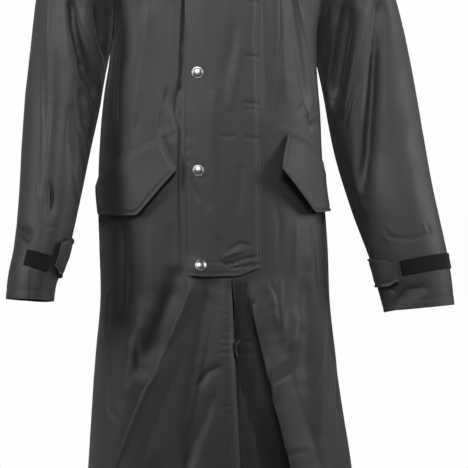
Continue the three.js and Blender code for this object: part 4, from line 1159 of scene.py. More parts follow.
    def crease_sum(self, creases: tuple, turn: np.ndarray, z: np.ndarray, on_back: bool) -> np.ndarray:
        """Sum of the finer creases of a panel."""
        reach = self.cut.body_reach
        total = np.zeros(turn.shape)
        for crease in creases:
            path = np.array(crease.path, float)
            path[:, 0] = self.cut.turn_of(path[:, 0], path[:, 1], on_back) * reach
            total += crease_field(path, crease.width, crease.height, crease.lean, turn * reach, z)
        return total

    def crushed(self, points: np.ndarray) -> np.ndarray:
        """Slight unevenness of hanging coated cloth: broad swells and small ridges."""
        stretched = points * [1.0, 1.0, 0.55]
        swell = 0.8 * self.crumple.at(stretched, 80) + 0.22 * self.crumple.at(stretched + 400, 30)
        ridges = 0.5 - np.abs(self.crumple.at(points * [1.0, 1.0, 0.7] + 900, 19))
        return swell + 0.22 * ridges

    def build(self) -> None:
        """Builds every grid, with normals that agree along the seams."""
        cut = self.cut
        yoke = np.arange(cut.yoke_rows + 1) / cut.yoke_rows
        mirror = np.array([-1, 1, 1])
        holes = {
            side: [path_point(cut.armhole(side, pts), yoke) for pts in (cut.front_armhole, cut.back_armhole)]
            for side in Side
        }
        neck = path_point(cut.front_neck, np.arange(cut.neck_columns + 1) / cut.neck_columns)
        shoulder_columns = cut.front_columns - cut.neck_columns
        shoulder = path_point(cut.shoulder, np.arange(shoulder_columns + 1) / shoulder_columns)
        left_top = np.vstack([neck, shoulder[1:]])
        back_columns = cut.back_columns // 2 - shoulder_columns
        back_neck = path_point(cut.back_neck, np.arange(back_columns + 1) / back_columns)
        half_back = np.vstack([shoulder[::-1], back_neck[1:]])
        back_top = np.vstack([half_back, (half_back * mirror)[::-1][1:]])
        centre = path_point(cut.centre_front, yoke)
        back_turns = math.pi * (0.5 + np.arange(cut.back_columns + 1) / cut.back_columns)
        coarse = {
            "right_front": self.plain_grid(
                lambda z: self.front_turns(Side.RIGHT, z),
                (left_top * mirror)[::-1], holes[Side.RIGHT][0], centre,
            ),
            "left_front": self.plain_grid(
                lambda z: self.front_turns(Side.LEFT, z), left_top, centre, holes[Side.LEFT][0]
            ),
            "back": self.plain_grid(
                lambda z: back_turns, back_top, holes[Side.LEFT][1], holes[Side.RIGHT][1]
            ),
        }
        pleats = {"right_front": cut.right_pleat, "left_front": cut.left_pleat, "back": None}
        self.broad, self.final, self.turn = {}, {}, {}
        for name, grid in coarse.items():
            plain = self.refined(grid, self.back_fine if name == "back" else self.front_fine)
            self.turn[name] = plain[..., 3]
            self.broad[name] = self.broad_panel(plain, pleats[name], name == "right_front")
            detail = self.panel_detail(name, plain)
            normals = grid_normals(self.broad[name])
            self.final[name] = self.broad[name] + normals * detail[..., None]
        self.join_seams()
        self.sleeves()
        self.normals = {
            name: grid_normals(grid, name.endswith("sleeve")) for name, grid in self.final.items()
        }
        self.match_normals()

    def panel_detail(self, name: str, plain: np.ndarray) -> np.ndarray:
        """Height of the fine form of a panel over its large form."""
        cut = self.cut
        turn, z, fade = plain[..., 3], plain[..., 2], np.clip(plain[..., 4], 0, 1)
        on_back = name == "back"
        creases = BACK_CREASES if on_back else FRONT_CREASES
        detail = self.crease_sum(creases, turn, z, on_back) * fade
        detail += self.crushed(self.broad[name]) * (0.35 + 0.65 * fade)
        from_side = np.abs(math.pi / 2 - np.abs(math.pi - np.abs(math.pi - np.abs(turn)))) * cut.body_reach
        side_puckers = np.exp(-from_side / 10) * self.pucker.along(z, 17) * 1.2
        detail += np.where(z < cut.armpit_z, side_puckers, 0.0)
        if not on_back:
            edge_turn = turn[:, -1:] if name == "right_front" else turn[:, :1]
            from_edge = np.abs(turn - edge_turn) * cut.body_reach
            below = smooth_step(-z, -cut.flap_bottom_z, -cut.flap_bottom_z + 20)
            band = np.exp(-(((from_edge - 10) / 7) ** 2))
            seed_shift = 400 if name == "right_front" else 0
            detail += band * self.pucker.along(z + seed_shift, 9.5) * 1.3 * below
            groove = np.exp(-(((from_edge - 17) / 2.2) ** 2)) * -0.6
            detail += groove * below
            under = (1 - below) * (1 - smooth_step(from_edge, 62, 82))
            detail *= 1 - 0.8 * under
        hem = np.exp(-(((z - cut.hem_z - 16) / 2.0) ** 2)) * -0.7
        hem_band = np.exp(-(((z - cut.hem_z - 14) / 10) ** 2))
        hem += hem_band * self.pucker.along(turn * cut.body_reach, 17) * 0.8
        return detail + hem

    def join_seams(self) -> None:
        """Makes panels share their points along the side, shoulder and armhole seams."""
        waist_rows = self.cut.skirt_rows - self.skirt_split
        armpit = self.skirt_split * self.skirt_fine + waist_rows * self.waist_fine
        self.armpit_row = armpit
        right, left, back = (self.final[name] for name in ("right_front", "left_front", "back"))
        for front, front_column, back_column in ((left, -1, 0), (right, 0, -1)):
            middle = (front[: armpit + 1, front_column] + back[: armpit + 1, back_column]) / 2
            front[: armpit + 1, front_column] = middle
            back[: armpit + 1, back_column] = middle
        flap_row = int(np.searchsorted(left[:armpit, 0, 2], self.cut.flap_bottom_z + 4))
        middle = (right[flap_row:, -1] + left[flap_row:, 0]) / 2
        right[flap_row:, -1] = middle - [0.1, 0, 0]
        left[flap_row:, 0] = middle + [0.1, 0, 0]

    def sleeve_ring(self, side: Side, z: np.ndarray) -> dict[str, np.ndarray]:
        """Middle, axes and half widths of a sleeve's ovals; x is that of the wearer's left."""
        table = SLEEVE_SECTIONS[side]

        def centre(at: np.ndarray) -> np.ndarray:
            """Middles of the sleeve at some heights."""
            return np.stack([table.read("x", at), table.read("y", at), at], -1)

        axis = unit(centre(z - 1) - centre(z + 1))
        out = unit(np.array([1.0, 0, 0]) - axis * axis[..., :1])
        ahead = np.cross(out, axis)
        ahead = np.where(ahead[..., 1:2] > 0, -ahead, ahead)
        return {
            "middle": centre(z), "axis": axis, "out": out, "ahead": ahead,
            "across": table.read("across", z)[..., None], "deep": table.read("deep", z)[..., None],
        }

    def sleeve_base(self, side: Side, start: np.ndarray, turn: np.ndarray, share: np.ndarray) -> np.ndarray:
        """Plain sleeve from the armhole to the cuff.

        Args:
            side: Side of the wearer.
            start: Points of the armhole for each column, with x as on the wearer's left.
            turn: Turns of the columns in radians; 0 faces the body and a quarter turn the front.
            share: Shares of the way down, one for each row.

        Returns:
            Points by row and column.
        """
        cut = self.cut
        cuff_z = SLEEVE_SECTIONS[side].rows[-1][0]
        below = np.clip((share - cut.cap_share) / (1 - cut.cap_share), 0, 1)
        ring = self.sleeve_ring(side, cut.cap_end_z + (cuff_z - cut.cap_end_z) * below)
        cos, sin = np.cos(turn)[None, :, None], np.sin(turn)[None, :, None]
        widen = {key: value[:, None, :] for key, value in ring.items()}
        points = widen["middle"] - widen["out"] * widen["across"] * cos + widen["ahead"] * widen["deep"] * sin
        end = points[-1]
        outward = ((1 - np.cos(turn)) / 2)[:, None]
        under, over = np.array([8.0, 0, -80.0]), np.array([234.0, 0, -100.0])
        leave = under + (over - under) * outward
        leave[:, 1] = -45 * np.sin(turn)
        arrive = ring["axis"][-1] * np.linalg.norm(end - start, axis=-1, keepdims=True)
        t = np.clip(share / cut.cap_share, 0, 1)[:, None, None]
        t2, t3 = t * t, t * t * t
        cap = start * (2 * t3 - 3 * t2 + 1) + end * (3 * t2 - 2 * t3)
        cap += leave * (t3 - 2 * t2 + t) + arrive * (t3 - t2)
        return np.where((share < cut.cap_share)[:, None, None], cap, points)

    def sleeves(self) -> None:
        """Builds both sleeves from the armhole edges of the panels."""
        cut = self.cut
        share = np.linspace(1.0, 0.0, self.sleeve_rows + 1)
        for side in Side:
            front = self.final[f"{side.word}_front"][self.armpit_row:, -1 if side is Side.LEFT else 0]
            back = self.final["back"][self.armpit_row:, 0 if side is Side.LEFT else -1]
            ring = np.vstack([front, back[::-1][1:]]) * [side.value, 1, 1]
            half = len(front) - 1
            turn = np.concatenate([np.arange(half + 1), np.arange(half + 1, 2 * half + 1)]) / half * math.pi
            base = self.sleeve_base(side, ring, turn, share)
            z = base[..., 2]
            turns = np.broadcast_to(turn, z.shape)
            normals = grid_normals(base, True)
            fade = smooth_step(share, 0, cut.cap_fade)[:, None]
            height = np.zeros(z.shape)
            for fold in SLEEVE_FOLDS[side]:
                start, end = fold.from_across * DEGREE, fold.to_across * DEGREE
                height += self.fold_height(fold, start, end, turns, z, cut.sleeve_reach)
            broad = base + normals * (height * fade)[..., None]
            detail = self.sleeve_detail(side, broad, turns, z, share, half)
            final = broad + grid_normals(broad, True) * detail[..., None]
            final[:, -1] = final[:, 0]
            name = f"{side.word}_sleeve"
            order = slice(None) if side is Side.LEFT else slice(None, None, -1)
            self.broad[name] = (broad * [side.value, 1, 1])[:, order]
            self.final[name] = (final * [side.value, 1, 1])[:, order]
            self.turn[name] = turns[:, order]

    def sleeve_detail(
        self, side: Side, broad: np.ndarray, turns: np.ndarray, z: np.ndarray, share: np.ndarray, half: int
    ) -> np.ndarray:
        """Height of the fine form of a sleeve over its large form."""
        reach = self.cut.sleeve_reach
        detail = np.zeros(z.shape)
        for crease in SLEEVE_CREASES[side]:
            path = np.array(crease.path, float)
            path[:, 0] *= DEGREE * reach
            for lap in (-2 * math.pi, 0.0, 2 * math.pi):
                around = (turns + lap) * reach
                detail += crease_field(path, crease.width, crease.height, crease.lean, around, z)
        detail += self.crushed(broad * [side.value, 1, 1] + [0, 300, 0])
        fade = smooth_step(share, 0, 0.1)[:, None]
        ring_along = np.arange(2 * half + 1) * 2.6
        puckers = self.pucker.along(ring_along, 13)[None, :] * np.exp(-share / 0.05)[:, None] * 1.4
        detail = detail * fade + puckers * smooth_step(share, 0, 0.006)[:, None]
        from_cuff = (1 - share)[:, None] * 480
        hem = -0.7 * np.exp(-(((from_cuff - 9) / 1.6) ** 2))
        hem = hem + 0.5 * np.exp(-(((from_cuff - 6) / 8) ** 2)) * self.pucker.along(ring_along, 16)[None, :]
        return detail + hem

    def match_normals(self) -> None:
        """Averages the normals of grids along the seams that they share."""
        armpit = self.armpit_row
        n = self.normals
        pairs = [
            (n["left_front"][:armpit, -1], n["back"][:armpit, 0]),
            (n["right_front"][:armpit, 0], n["back"][:armpit, -1]),
        ]
        for side in Side:
            front = n[f"{side.word}_front"][armpit:, -1 if side is Side.LEFT else 0]
            back = n["back"][armpit:, 0 if side is Side.LEFT else -1]
            half = len(front) - 1
            ring = n[f"{side.word}_sleeve"][-1]
            if side is Side.RIGHT:
                ring = ring[::-1]
            pairs += [(front, ring[: half + 1]), (back, ring[half:][::-1])]
        for first, second in pairs:
            middle = unit(first + second)
            first[...] = middle
            second[...] = middle


@dataclass
class FrontSurface:
    """Large form of the fronts, read at a distance from the centre front and a height.

    Attributes:
        shell: The coat's grids.
        step: Spacing of the readings.
        reach: Furthest distance read.
    """

    shell: Shell
    step: float = 2.0
    reach: float = 330.0

    def __post_init__(self) -> None:
        """Measures distances along each row of both fronts."""
        self.arcs = np.arange(0.0, self.reach, self.step)
        self.tables = {}
        for side in Side:
            grid = self.shell.broad[f"{side.word}_front"]
            normals = grid_normals(grid)
            if side is Side.RIGHT:
                grid, normals = grid[:, ::-1], normals[:, ::-1]
            steps = np.linalg.norm(np.diff(grid, axis=1), axis=-1)
            keys = np.concatenate([np.zeros((len(grid), 1)), np.cumsum(steps, axis=1)], axis=1)
            both = np.concatenate([grid, normals], axis=-1)
            table = np.empty((len(grid), len(self.arcs), 6))
            for j in range(len(grid)):
                for k in range(6):
                    table[j, :, k] = np.interp(self.arcs, keys[j], both[j, :, k])
            self.tables[side] = (grid[:, 0, 2].copy(), table)

    def read(self, arc: np.ndarray, z: np.ndarray) -> tuple[np.ndarray, np.ndarray]:
        """Points and normals of the fronts; arcs below 0 lie on the wearer's right."""
        arc, z = np.broadcast_arrays(np.asarray(arc, float), np.asarray(z, float))
        out = np.zeros((*arc.shape, 6))
        for side in Side:
            heights, table = self.tables[side]
            row = np.interp(z, heights, np.arange(len(heights)))
            column = np.clip(np.abs(arc) / self.step, 0, len(self.arcs) - 1.001)
            j = np.clip(row.astype(int), 0, len(heights) - 2)
            i = column.astype(int)
            v, u = (row - j)[..., None], (column - i)[..., None]
            low = table[j, i] * (1 - u) + table[j, i + 1] * u
            high = table[j + 1, i] * (1 - u) + table[j + 1, i + 1] * u
            here = (arc < 0) if side is Side.RIGHT else (arc >= 0)
            out = np.where(here[..., None], low * (1 - v) + high * v, out)
        return out[..., :3], unit(out[..., 3:])


def dress(piece: bpy.types.Object, node: str | None) -> None:
    """Makes a piece ride on the coat and hides the solid that it stands for."""
    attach(piece, BODY)
    if node:
        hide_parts(node)


@dataclass
class BodyPanels:
    """Fronts and back, with their hem and facing stitches."""

    shell: Shell
    finishes: Finishes
    thickness: float = 0.9
    seam_gap: float = 0.12
    flats: dict = field(default_factory=lambda: {
        "right_front": ((0.38, 1.25), 0.40), "left_front": ((0.44, 1.25), 0.46), "back": ((0.66, 1.25), 0.70),
    })

    def build(self) -> None:
        """Makes the three panels and their stitches."""
        for name, (flat, area) in self.flats.items():
            grid, normals = self.shell.final[name].copy(), self.shell.normals[name]
            grid[:, 0] += unit(grid[:, 1] - grid[:, 0]) * self.seam_gap
            grid[:, -1] += unit(grid[:, -2] - grid[:, -1]) * self.seam_gap
            piece = cloth_piece(name + "_cloth", grid, normals, self.thickness, self.finishes.nylon)
            dress(piece, name)
            self.stitch(name, grid, normals)
            LOG.info("%s: %d points", name, grid.shape[0] * grid.shape[1])

    def stitch(self, name: str, grid: np.ndarray, normals: np.ndarray) -> None:
        """Sews the hem and, on the fronts, the facing below the storm flap."""
        shell = self.shell
        stitches = Stitches()
        z = grid[:, grid.shape[1] // 2, 2]
        hem_row = int(np.argmin(np.abs(z - shell.cut.hem_z - 16)))
        stitches.row(grid[hem_row], normals[hem_row])
        if name != "back":
            edge = -1 if name == "right_front" else 0
            rows = np.flatnonzero(grid[:, edge, 2] < shell.cut.flap_bottom_z - 2)
            for reach in (3.0, 17.0):
                line, ups = [], []
                for j in rows:
                    row = grid[j][::-1] if edge == -1 else grid[j]
                    up = normals[j][::-1] if edge == -1 else normals[j]
                    keys = np.concatenate([[0], np.cumsum(np.linalg.norm(np.diff(row, axis=0), axis=1))])
                    line.append([np.interp(reach, keys, row[:, k]) for k in range(3)])
                    ups.append([np.interp(reach, keys, up[:, k]) for k in range(3)])
                stitches.row(np.array(line), np.array(ups))
        stitches.finish(name + "_stitches", self.finishes.thread)


@dataclass
class Sleeves:
    """Sleeves with their seams and cuff hems."""

    shell: Shell
    finishes: Finishes
    thickness: float = 0.9
    seam_gap: float = 0.12
    flat: tuple = (0.46, 0.66)

    def build(self) -> None:
        """Makes both sleeves."""
        for side in Side:
            name = f"{side.word}_sleeve"
            grid, normals = self.shell.final[name].copy(), self.shell.normals[name]
            grid[-1] += unit(grid[-2] - grid[-1]) * self.seam_gap
            piece = cloth_piece(name + "_cloth", grid, normals, self.thickness, self.finishes.nylon, True)
            dress(piece, name)
            stitches = Stitches()
            for row in (3, 4 + len(grid) // 6):
                stitches.row(grid[row], normals[row])
            stitches.finish(name + "_stitches", self.finishes.thread)
            LOG.info("%s: %d points", name, grid.shape[0] * grid.shape[1])


@dataclass
class StormFlap:
    """Flap that closes over the centre front, sewn on the wearer's left."""

    surface: FrontSurface
    finishes: Finishes
    free_edge: float = -72.0
    sewn_edge: float = 53.0
    bottom_z: float = -722.0
    bottom_rise: float = 13.0
    top_z: float = -79.0
    thickness: float = 1.3
    columns: int = 92
    rows: int = 240
    pucker: Noise = field(default_factory=lambda: Noise(41))

    CREASES = (
        Crease(((30, -271), (52, -270)), 2.6, -1.5),
        Crease(((26, -355), (52, -355)), 2.8, -1.6),
        Crease(((20, -438), (52, -440)), 2.8, -1.7),
        Crease(((22, -447), (50, -449)), 2.4, -1.2),
        Crease(((24, -494), (52, -498)), 2.6, -1.5),
        Crease(((-20, -492), (-4, -494), (8, -492)), 3.0, -1.4),
        Crease(((-22, -696), (-8, -703), (10, -697), (26, -692), (46, -690)), 2.6, -2.6, 0.6),
        Crease(((-14, -690), (4, -684), (22, -680)), 3.4, 2.0, 0.6),
        Crease(((-4, -709), (20, -706), (48, -701)), 2.6, -2.2, 0.6),
        Crease(((-4, -677), (16, -668), (34, -672)), 4.0, -1.8, 0.6),
        Crease(((-26, -420), (-30, -500), (-26, -580)), 10, 1.4, 0.7),
        Crease(((14, -300), (2, -360), (-10, -410)), 10, -1.5, 0.7),
        Crease(((24, -330), (8, -400), (0, -450)), 9, 1.3, 0.7),
        Crease(((18, -540), (14, -620)), 9, -1.3, 0.7),
        Crease(((-34, -610), (-20, -660)), 8, 1.4, 0.7),
        Crease(((-66, -560), (-52, -600)), 6, -1.4, 0.7),
    )

    def lift(self, arc: np.ndarray) -> np.ndarray:
        """Height of the flap over the fronts."""
        seat = 2.8 * smooth_step(self.sewn_edge - arc, 0, 17)
        return 0.6 + seat + 2.6 * smooth_step(-arc, -10, -self.free_edge)

    def grid(self) -> tuple[np.ndarray, np.ndarray]:
        """Points and normals of the flap's outer side."""
        arcs = np.linspace(self.free_edge, self.sewn_edge, self.columns + 1)
        share = np.linspace(0, 1, self.rows + 1)[:, None]
        bottom = self.bottom_z + self.bottom_rise * smooth_step(arcs, 0, self.sewn_edge)
        z = bottom + (self.top_z - bottom) * share
        arc = np.broadcast_to(arcs, z.shape)
        points, normals = self.surface.read(arc, z)
        detail = sum(
            crease_field(np.array(c.path, float), c.width, c.height, c.lean, arc, z) for c in self.CREASES
        )
        from_seam = self.sewn_edge - arc
        detail = detail + np.exp(-from_seam / 12) * self.pucker.along(z, 13) * 0.75
        detail = detail + np.exp(-(arc - self.free_edge) / 9) * self.pucker.along(z + 55, 24) * 0.8
        detail = detail + self.pucker.at(points * [1, 1, 0.5], 46) * 0.9
        for seam in (2.2, 6.8):
            detail = detail - 0.95 * np.exp(-(((from_seam - seam) / 1.1) ** 2))
        detail = detail - 0.9 * np.exp(-(((z - bottom - 6) / 1.2) ** 2))
        detail = detail - 0.6 * np.exp(-(((z - bottom - 22) / 1.4) ** 2))
        outer = points + normals * (self.lift(arc) + self.thickness + detail)[..., None]
        return outer, grid_normals(outer)

    def build(self) -> None:
        """Makes the flap and its stitches."""
        outer, normals = self.grid()
        piece = cloth_piece("storm_flap_cloth", outer, normals, self.thickness, self.finishes.nylon)
        dress(piece, "storm_flap")
        stitches = Stitches()
        width = self.sewn_edge - self.free_edge
        for from_seam in (2.2, 6.8, width - 5.0):
            column = int(round((1 - from_seam / width) * self.columns))
            stitches.row(outer[:, column], normals[:, column])
        for up in (6.0, 22.0):
            row = int(round(up / (self.top_z - self.bottom_z) * self.rows))
            stitches.row(outer[row], normals[row])
        stitches.finish("storm_flap_stitches", self.finishes.thread)
        LOG.info("storm_flap: %d points", outer.shape[0] * outer.shape[1])


@dataclass
class Snaps:
    """Domed snap caps along the storm flap's free edge."""

    surface: FrontSurface
    finishes: Finishes
    flap: StormFlap
    heights: tuple = (-706, -550, -388, -226, -110)
    arc: float = -53.0
    radius: float = 9.5
    sides: int = 48

    PROFILE = (
        (0.0, 0.0), (0.88, 0.0), (1.0, 0.6), (1.0, 1.0), (0.955, 1.35), (0.89, 1.2), (0.84, 1.25),
        (0.78, 1.75), (0.66, 2.3), (0.5, 2.75), (0.3, 3.05), (0.12, 3.2), (0.0, 3.22),
    )

    def build(self) -> None:
        """Makes each cap as a turned dome with a rolled rim."""
        for k, z in enumerate(self.heights):
            point, normal = self.surface.read(np.array([self.arc]), np.array([float(z)]))
            lift = float(self.flap.lift(np.array([self.arc]))[0]) + 2.0 + 0.35
            name = f"snap_{k + 1}"
            piece = self.cap(f"{name}_cap", point[0] + normal[0] * lift, normal[0])
            dress(piece, name)
            LOG.info("%s at z %d mm", name, z)

    def cap(self, name: str, centre: np.ndarray, normal: np.ndarray) -> bpy.types.Object:
        """Turns the profile round the normal."""
        side = unit(np.cross(normal, [0.0, 0.0, 1.0]))
        up = np.cross(side, normal)
        angles = np.arange(self.sides) / self.sides * 2 * math.pi
        circle = np.cos(angles)[:, None] * side + np.sin(angles)[:, None] * up
        inner = [centre + normal * h + circle * r * self.radius for r, h in self.PROFILE[1:-1]]
        points = np.vstack([centre[None], *inner, (centre + normal * self.PROFILE[-1][1])[None]])
        faces = []
        last = len(points) - 1
        for q in range(self.sides):
            n = (q + 1) % self.sides
            faces.append((0, 1 + q, 1 + n))
            for ring in range(len(inner) - 1):
                a, b = 1 + ring * self.sides, 1 + (ring + 1) * self.sides
                faces.append((a + q, b + q, b + n, a + n))
            top = 1 + (len(inner) - 1) * self.sides
            faces.append((top + q, last, top + n))
        mesh = bpy.data.meshes.new(name)
        mesh.from_pydata((points * METRE).tolist(), [], faces)
        mesh.polygons.foreach_set("use_smooth", np.ones(len(mesh.polygons), bool))
        mesh.materials.append(self.finishes.plating)
        piece = bpy.data.objects.new(name, mesh)
        bpy.context.scene.collection.objects.link(piece)
        return piece


@dataclass
class PocketFlap:
    """Pointed flap over a slanting pocket."""

    side: Side
    surface: FrontSurface
    finishes: Finishes
    arc: float
    z: float
    slant: float
    stand: float
    width: float = 176.0
    side_length: float = 62.0
    point_length: float = 104.0
    outer_rest: float = 0.85
    lift: float = 3.0
    sewn_lift: float = 0.9
    thickness: float = 1.5
    columns: int = 120
    rows: int = 66
    seed: int = 51

    def grid(self) -> tuple[np.ndarray, np.ndarray, np.ndarray, np.ndarray]:
        """Points and normals of the outer side, with the shares across and down."""
        across = np.linspace(0, 1, self.columns + 1)[None, :]
        share = np.linspace(1, 0, self.rows + 1)[:, None]
        slant = self.slant * DEGREE
        peak = 1 - np.sqrt((2 * across - 1) ** 2 + 0.0016) + 0.02
        length = self.side_length + (self.point_length - self.side_length) * peak
        arc = self.arc + across * self.width * math.cos(slant) + share * length * math.sin(slant)
        z = self.z + across * self.width * math.sin(slant) - share * length * math.cos(slant)
        points, normals = self.surface.read(self.side.value * arc, z)
        noise = Noise(self.seed)
        seat = self.sewn_lift + self.lift * smooth_step(share, 0, 0.2)
        detail = np.exp(-share * length / 14) * noise.along(across * self.width, 12) * 0.9
        detail = detail + noise.at(points, 34) * 0.9 * smooth_step(share, 0.05, 0.4)
        edge = np.minimum(np.minimum(across, 1 - across) * self.width, (1 - share) * length)
        detail = detail - 1.1 * np.exp(-(((edge - 6) / 1.6) ** 2)) + 0.9 * np.exp(-((edge / 3.2) ** 2))
        bow = self.stand * share**2 * (1 - self.outer_rest * across)
        outer = points + normals * (seat + bow + self.thickness + detail)[..., None]
        if self.side is Side.RIGHT:
            outer = outer[:, ::-1]
            edge = edge[:, ::-1]
        return outer, grid_normals(outer), edge, np.broadcast_to(share, edge.shape)

    def build(self) -> None:
        """Makes the flap and its stitches."""
        name = f"{self.side.word}_pocket_flap"
        outer, normals, edge, share = self.grid()
        piece = cloth_piece(name + "_cloth", outer, normals, self.thickness, self.finishes.nylon)
        dress(piece, name)
        stitches = Stitches(pitch=3.2, length=2.4)
        inset = int(round(6 / self.width * self.columns))
        low = int(round(0.075 * self.rows))
        stitches.row(outer[low, inset:-inset], normals[low, inset:-inset])
        for column in (inset, self.columns - inset):
            stitches.row(outer[low:-1, column], normals[low:-1, column])
        for row in (-2, -5):
            stitches.row(outer[row], normals[row])
        stitches.finish(name + "_stitches", self.finishes.thread)
        LOG.info("%s: %d points", name, outer.shape[0] * outer.shape[1])


@dataclass
class Cuff:
    """Hook-and-loop closing of one cuff: a tape round the front and a tab from the side next to the body."""

    side: Side
    shell: Shell
    finishes: Finishes
    tape: dict
    tab: dict
    tape_lift: float = 0.5
    thickness: float = 1.3
    tape_columns: int = 90
    tape_rows: int = 14
    tab_columns: int = 60
    tab_rows: int = 30
    stitch_row: int = 3
    stitch_column: int = 4

    def strip(self, spec: dict, columns: int, rows: int, shape_at, lift_at) -> tuple[np.ndarray, np.ndarray]:
        """Samples the sleeve under a strip and lifts it.

        Args:
            spec: Turns, height, fall and depth of the strip.
            columns: Steps along it.
            rows: Steps across it.
            shape_at: Gives the trims of the upper and lower edge at a share along it.
            lift_at: Gives the height over the sleeve at a share along it.

        Returns:
            Outer points and their normals.
        """
        name = f"{self.side.word}_sleeve"
        grid = self.shell.broad[name]
        normals = grid_normals(grid, True)
        if self.side is Side.RIGHT:
            grid, normals = grid[:, ::-1], normals[:, ::-1]
        u = np.linspace(0, 1, columns + 1)
        top, low = shape_at(u)
        v = np.linspace(0, 1, rows + 1)[:, None]
        z = spec["z"] + spec["fall"] * u - spec["height"] * (low + (top - low) * v)
        turn = spec["from_turn"] + (spec["to_turn"] - spec["from_turn"]) * u
        count = grid.shape[1] - 1
        cuff_z = SLEEVE_SECTIONS[self.side].rows[-1][0]
        cut = self.shell.cut
        share = cut.cap_share + (1 - cut.cap_share) * (cut.cap_end_z - z) / (cut.cap_end_z - cuff_z)
        column = np.broadcast_to((turn % 360) / 360 * count, z.shape)
        row = (1 - share) * (len(grid) - 1)
        j = np.clip(row.astype(int), 0, len(grid) - 2)
        i = column.astype(int) % count
        b, a = (row - j)[..., None], (column - np.floor(column))[..., None]

        def read(values: np.ndarray) -> np.ndarray:
            """Values between the points of the sleeve's grid."""
            upper = values[j, i] * (1 - a) + values[j, i + 1] * a
            lower = values[j + 1, i] * (1 - a) + values[j + 1, i + 1] * a
            return upper * (1 - b) + lower * b

        outer = read(grid) + unit(read(normals)) * (lift_at(u) + self.thickness)[..., None]
        if self.side is Side.RIGHT:
            outer = outer[:, ::-1]
        return outer, grid_normals(outer)

    def build(self) -> None:
        """Makes the tape and the tab."""
        word = self.side.word

        def whole(u: np.ndarray) -> tuple[np.ndarray, np.ndarray]:
            """Low and high edge of a strip that is as wide all along."""
            return np.zeros_like(u), np.ones_like(u)

        outer, normals = self.strip(
            self.tape, self.tape_columns, self.tape_rows, whole,
            lambda u: np.full_like(u, self.tape_lift),
        )
        loops = Noise(61).at(outer, 2.2) * 0.35
        row = np.arange(self.tape_rows + 1)
        edge = np.minimum(row, row[::-1])[:, None] < 2
        outer = outer + normals * np.where(edge, 0.15, loops)[..., None]
        piece = cloth_piece(f"{word}_cuff_tape_pile", outer, normals, self.thickness, self.finishes.tape)
        dress(piece, f"{word}_cuff_tape")

        def chamfered(u: np.ndarray) -> tuple[np.ndarray, np.ndarray]:
            """Trims of the tab's free end."""
            corner = smooth_step(u, 0.78, 1) * 0.22
            return corner, 1 - corner * 0.6

        def tab_lift(u: np.ndarray) -> np.ndarray:
            """Height of the tab over the sleeve, more toward its free end."""
            return 2 * self.tape_lift + self.tab["lift"] * smooth_step(u, 0.1, 1)

        outer, normals = self.strip(self.tab, self.tab_columns, self.tab_rows, chamfered, tab_lift)
        share_u = np.linspace(0, 1, self.tab_columns + 1)[None, :]
        if self.side is Side.RIGHT:
            share_u = share_u[:, ::-1]
        v = np.linspace(0, 1, self.tab_rows + 1)[:, None]
        rim = np.minimum(np.minimum(v, 1 - v) * self.tab["height"], (1 - share_u) * 100)
        relief = 1.2 * np.exp(-((rim / 3.0) ** 2)) - 1.0 * np.exp(-(((rim - 5.5) / 1.6) ** 2))
        relief = relief + Noise(67).at(outer, 16) * 0.6
        outer = outer + normals * relief[..., None]
        tab_thickness = self.thickness + 0.5
        piece = cloth_piece(f"{word}_cuff_tab_cloth", outer, normals, tab_thickness, self.finishes.nylon)
        dress(piece, f"{word}_cuff_tab")
        stitches = Stitches(pitch=3.0, length=2.2)
        inset, last = self.stitch_row, self.tab_rows - self.stitch_row
        for row in (inset, last):
            stitches.row(outer[row], normals[row])
        column = self.stitch_column if self.side is Side.RIGHT else self.tab_columns - self.stitch_column
        stitches.row(outer[inset : last + 1, column], normals[inset : last + 1, column])
        stitches.finish(f"{word}_cuff_tab_stitches", self.finishes.thread)
        LOG.info("%s cuff closing", word)


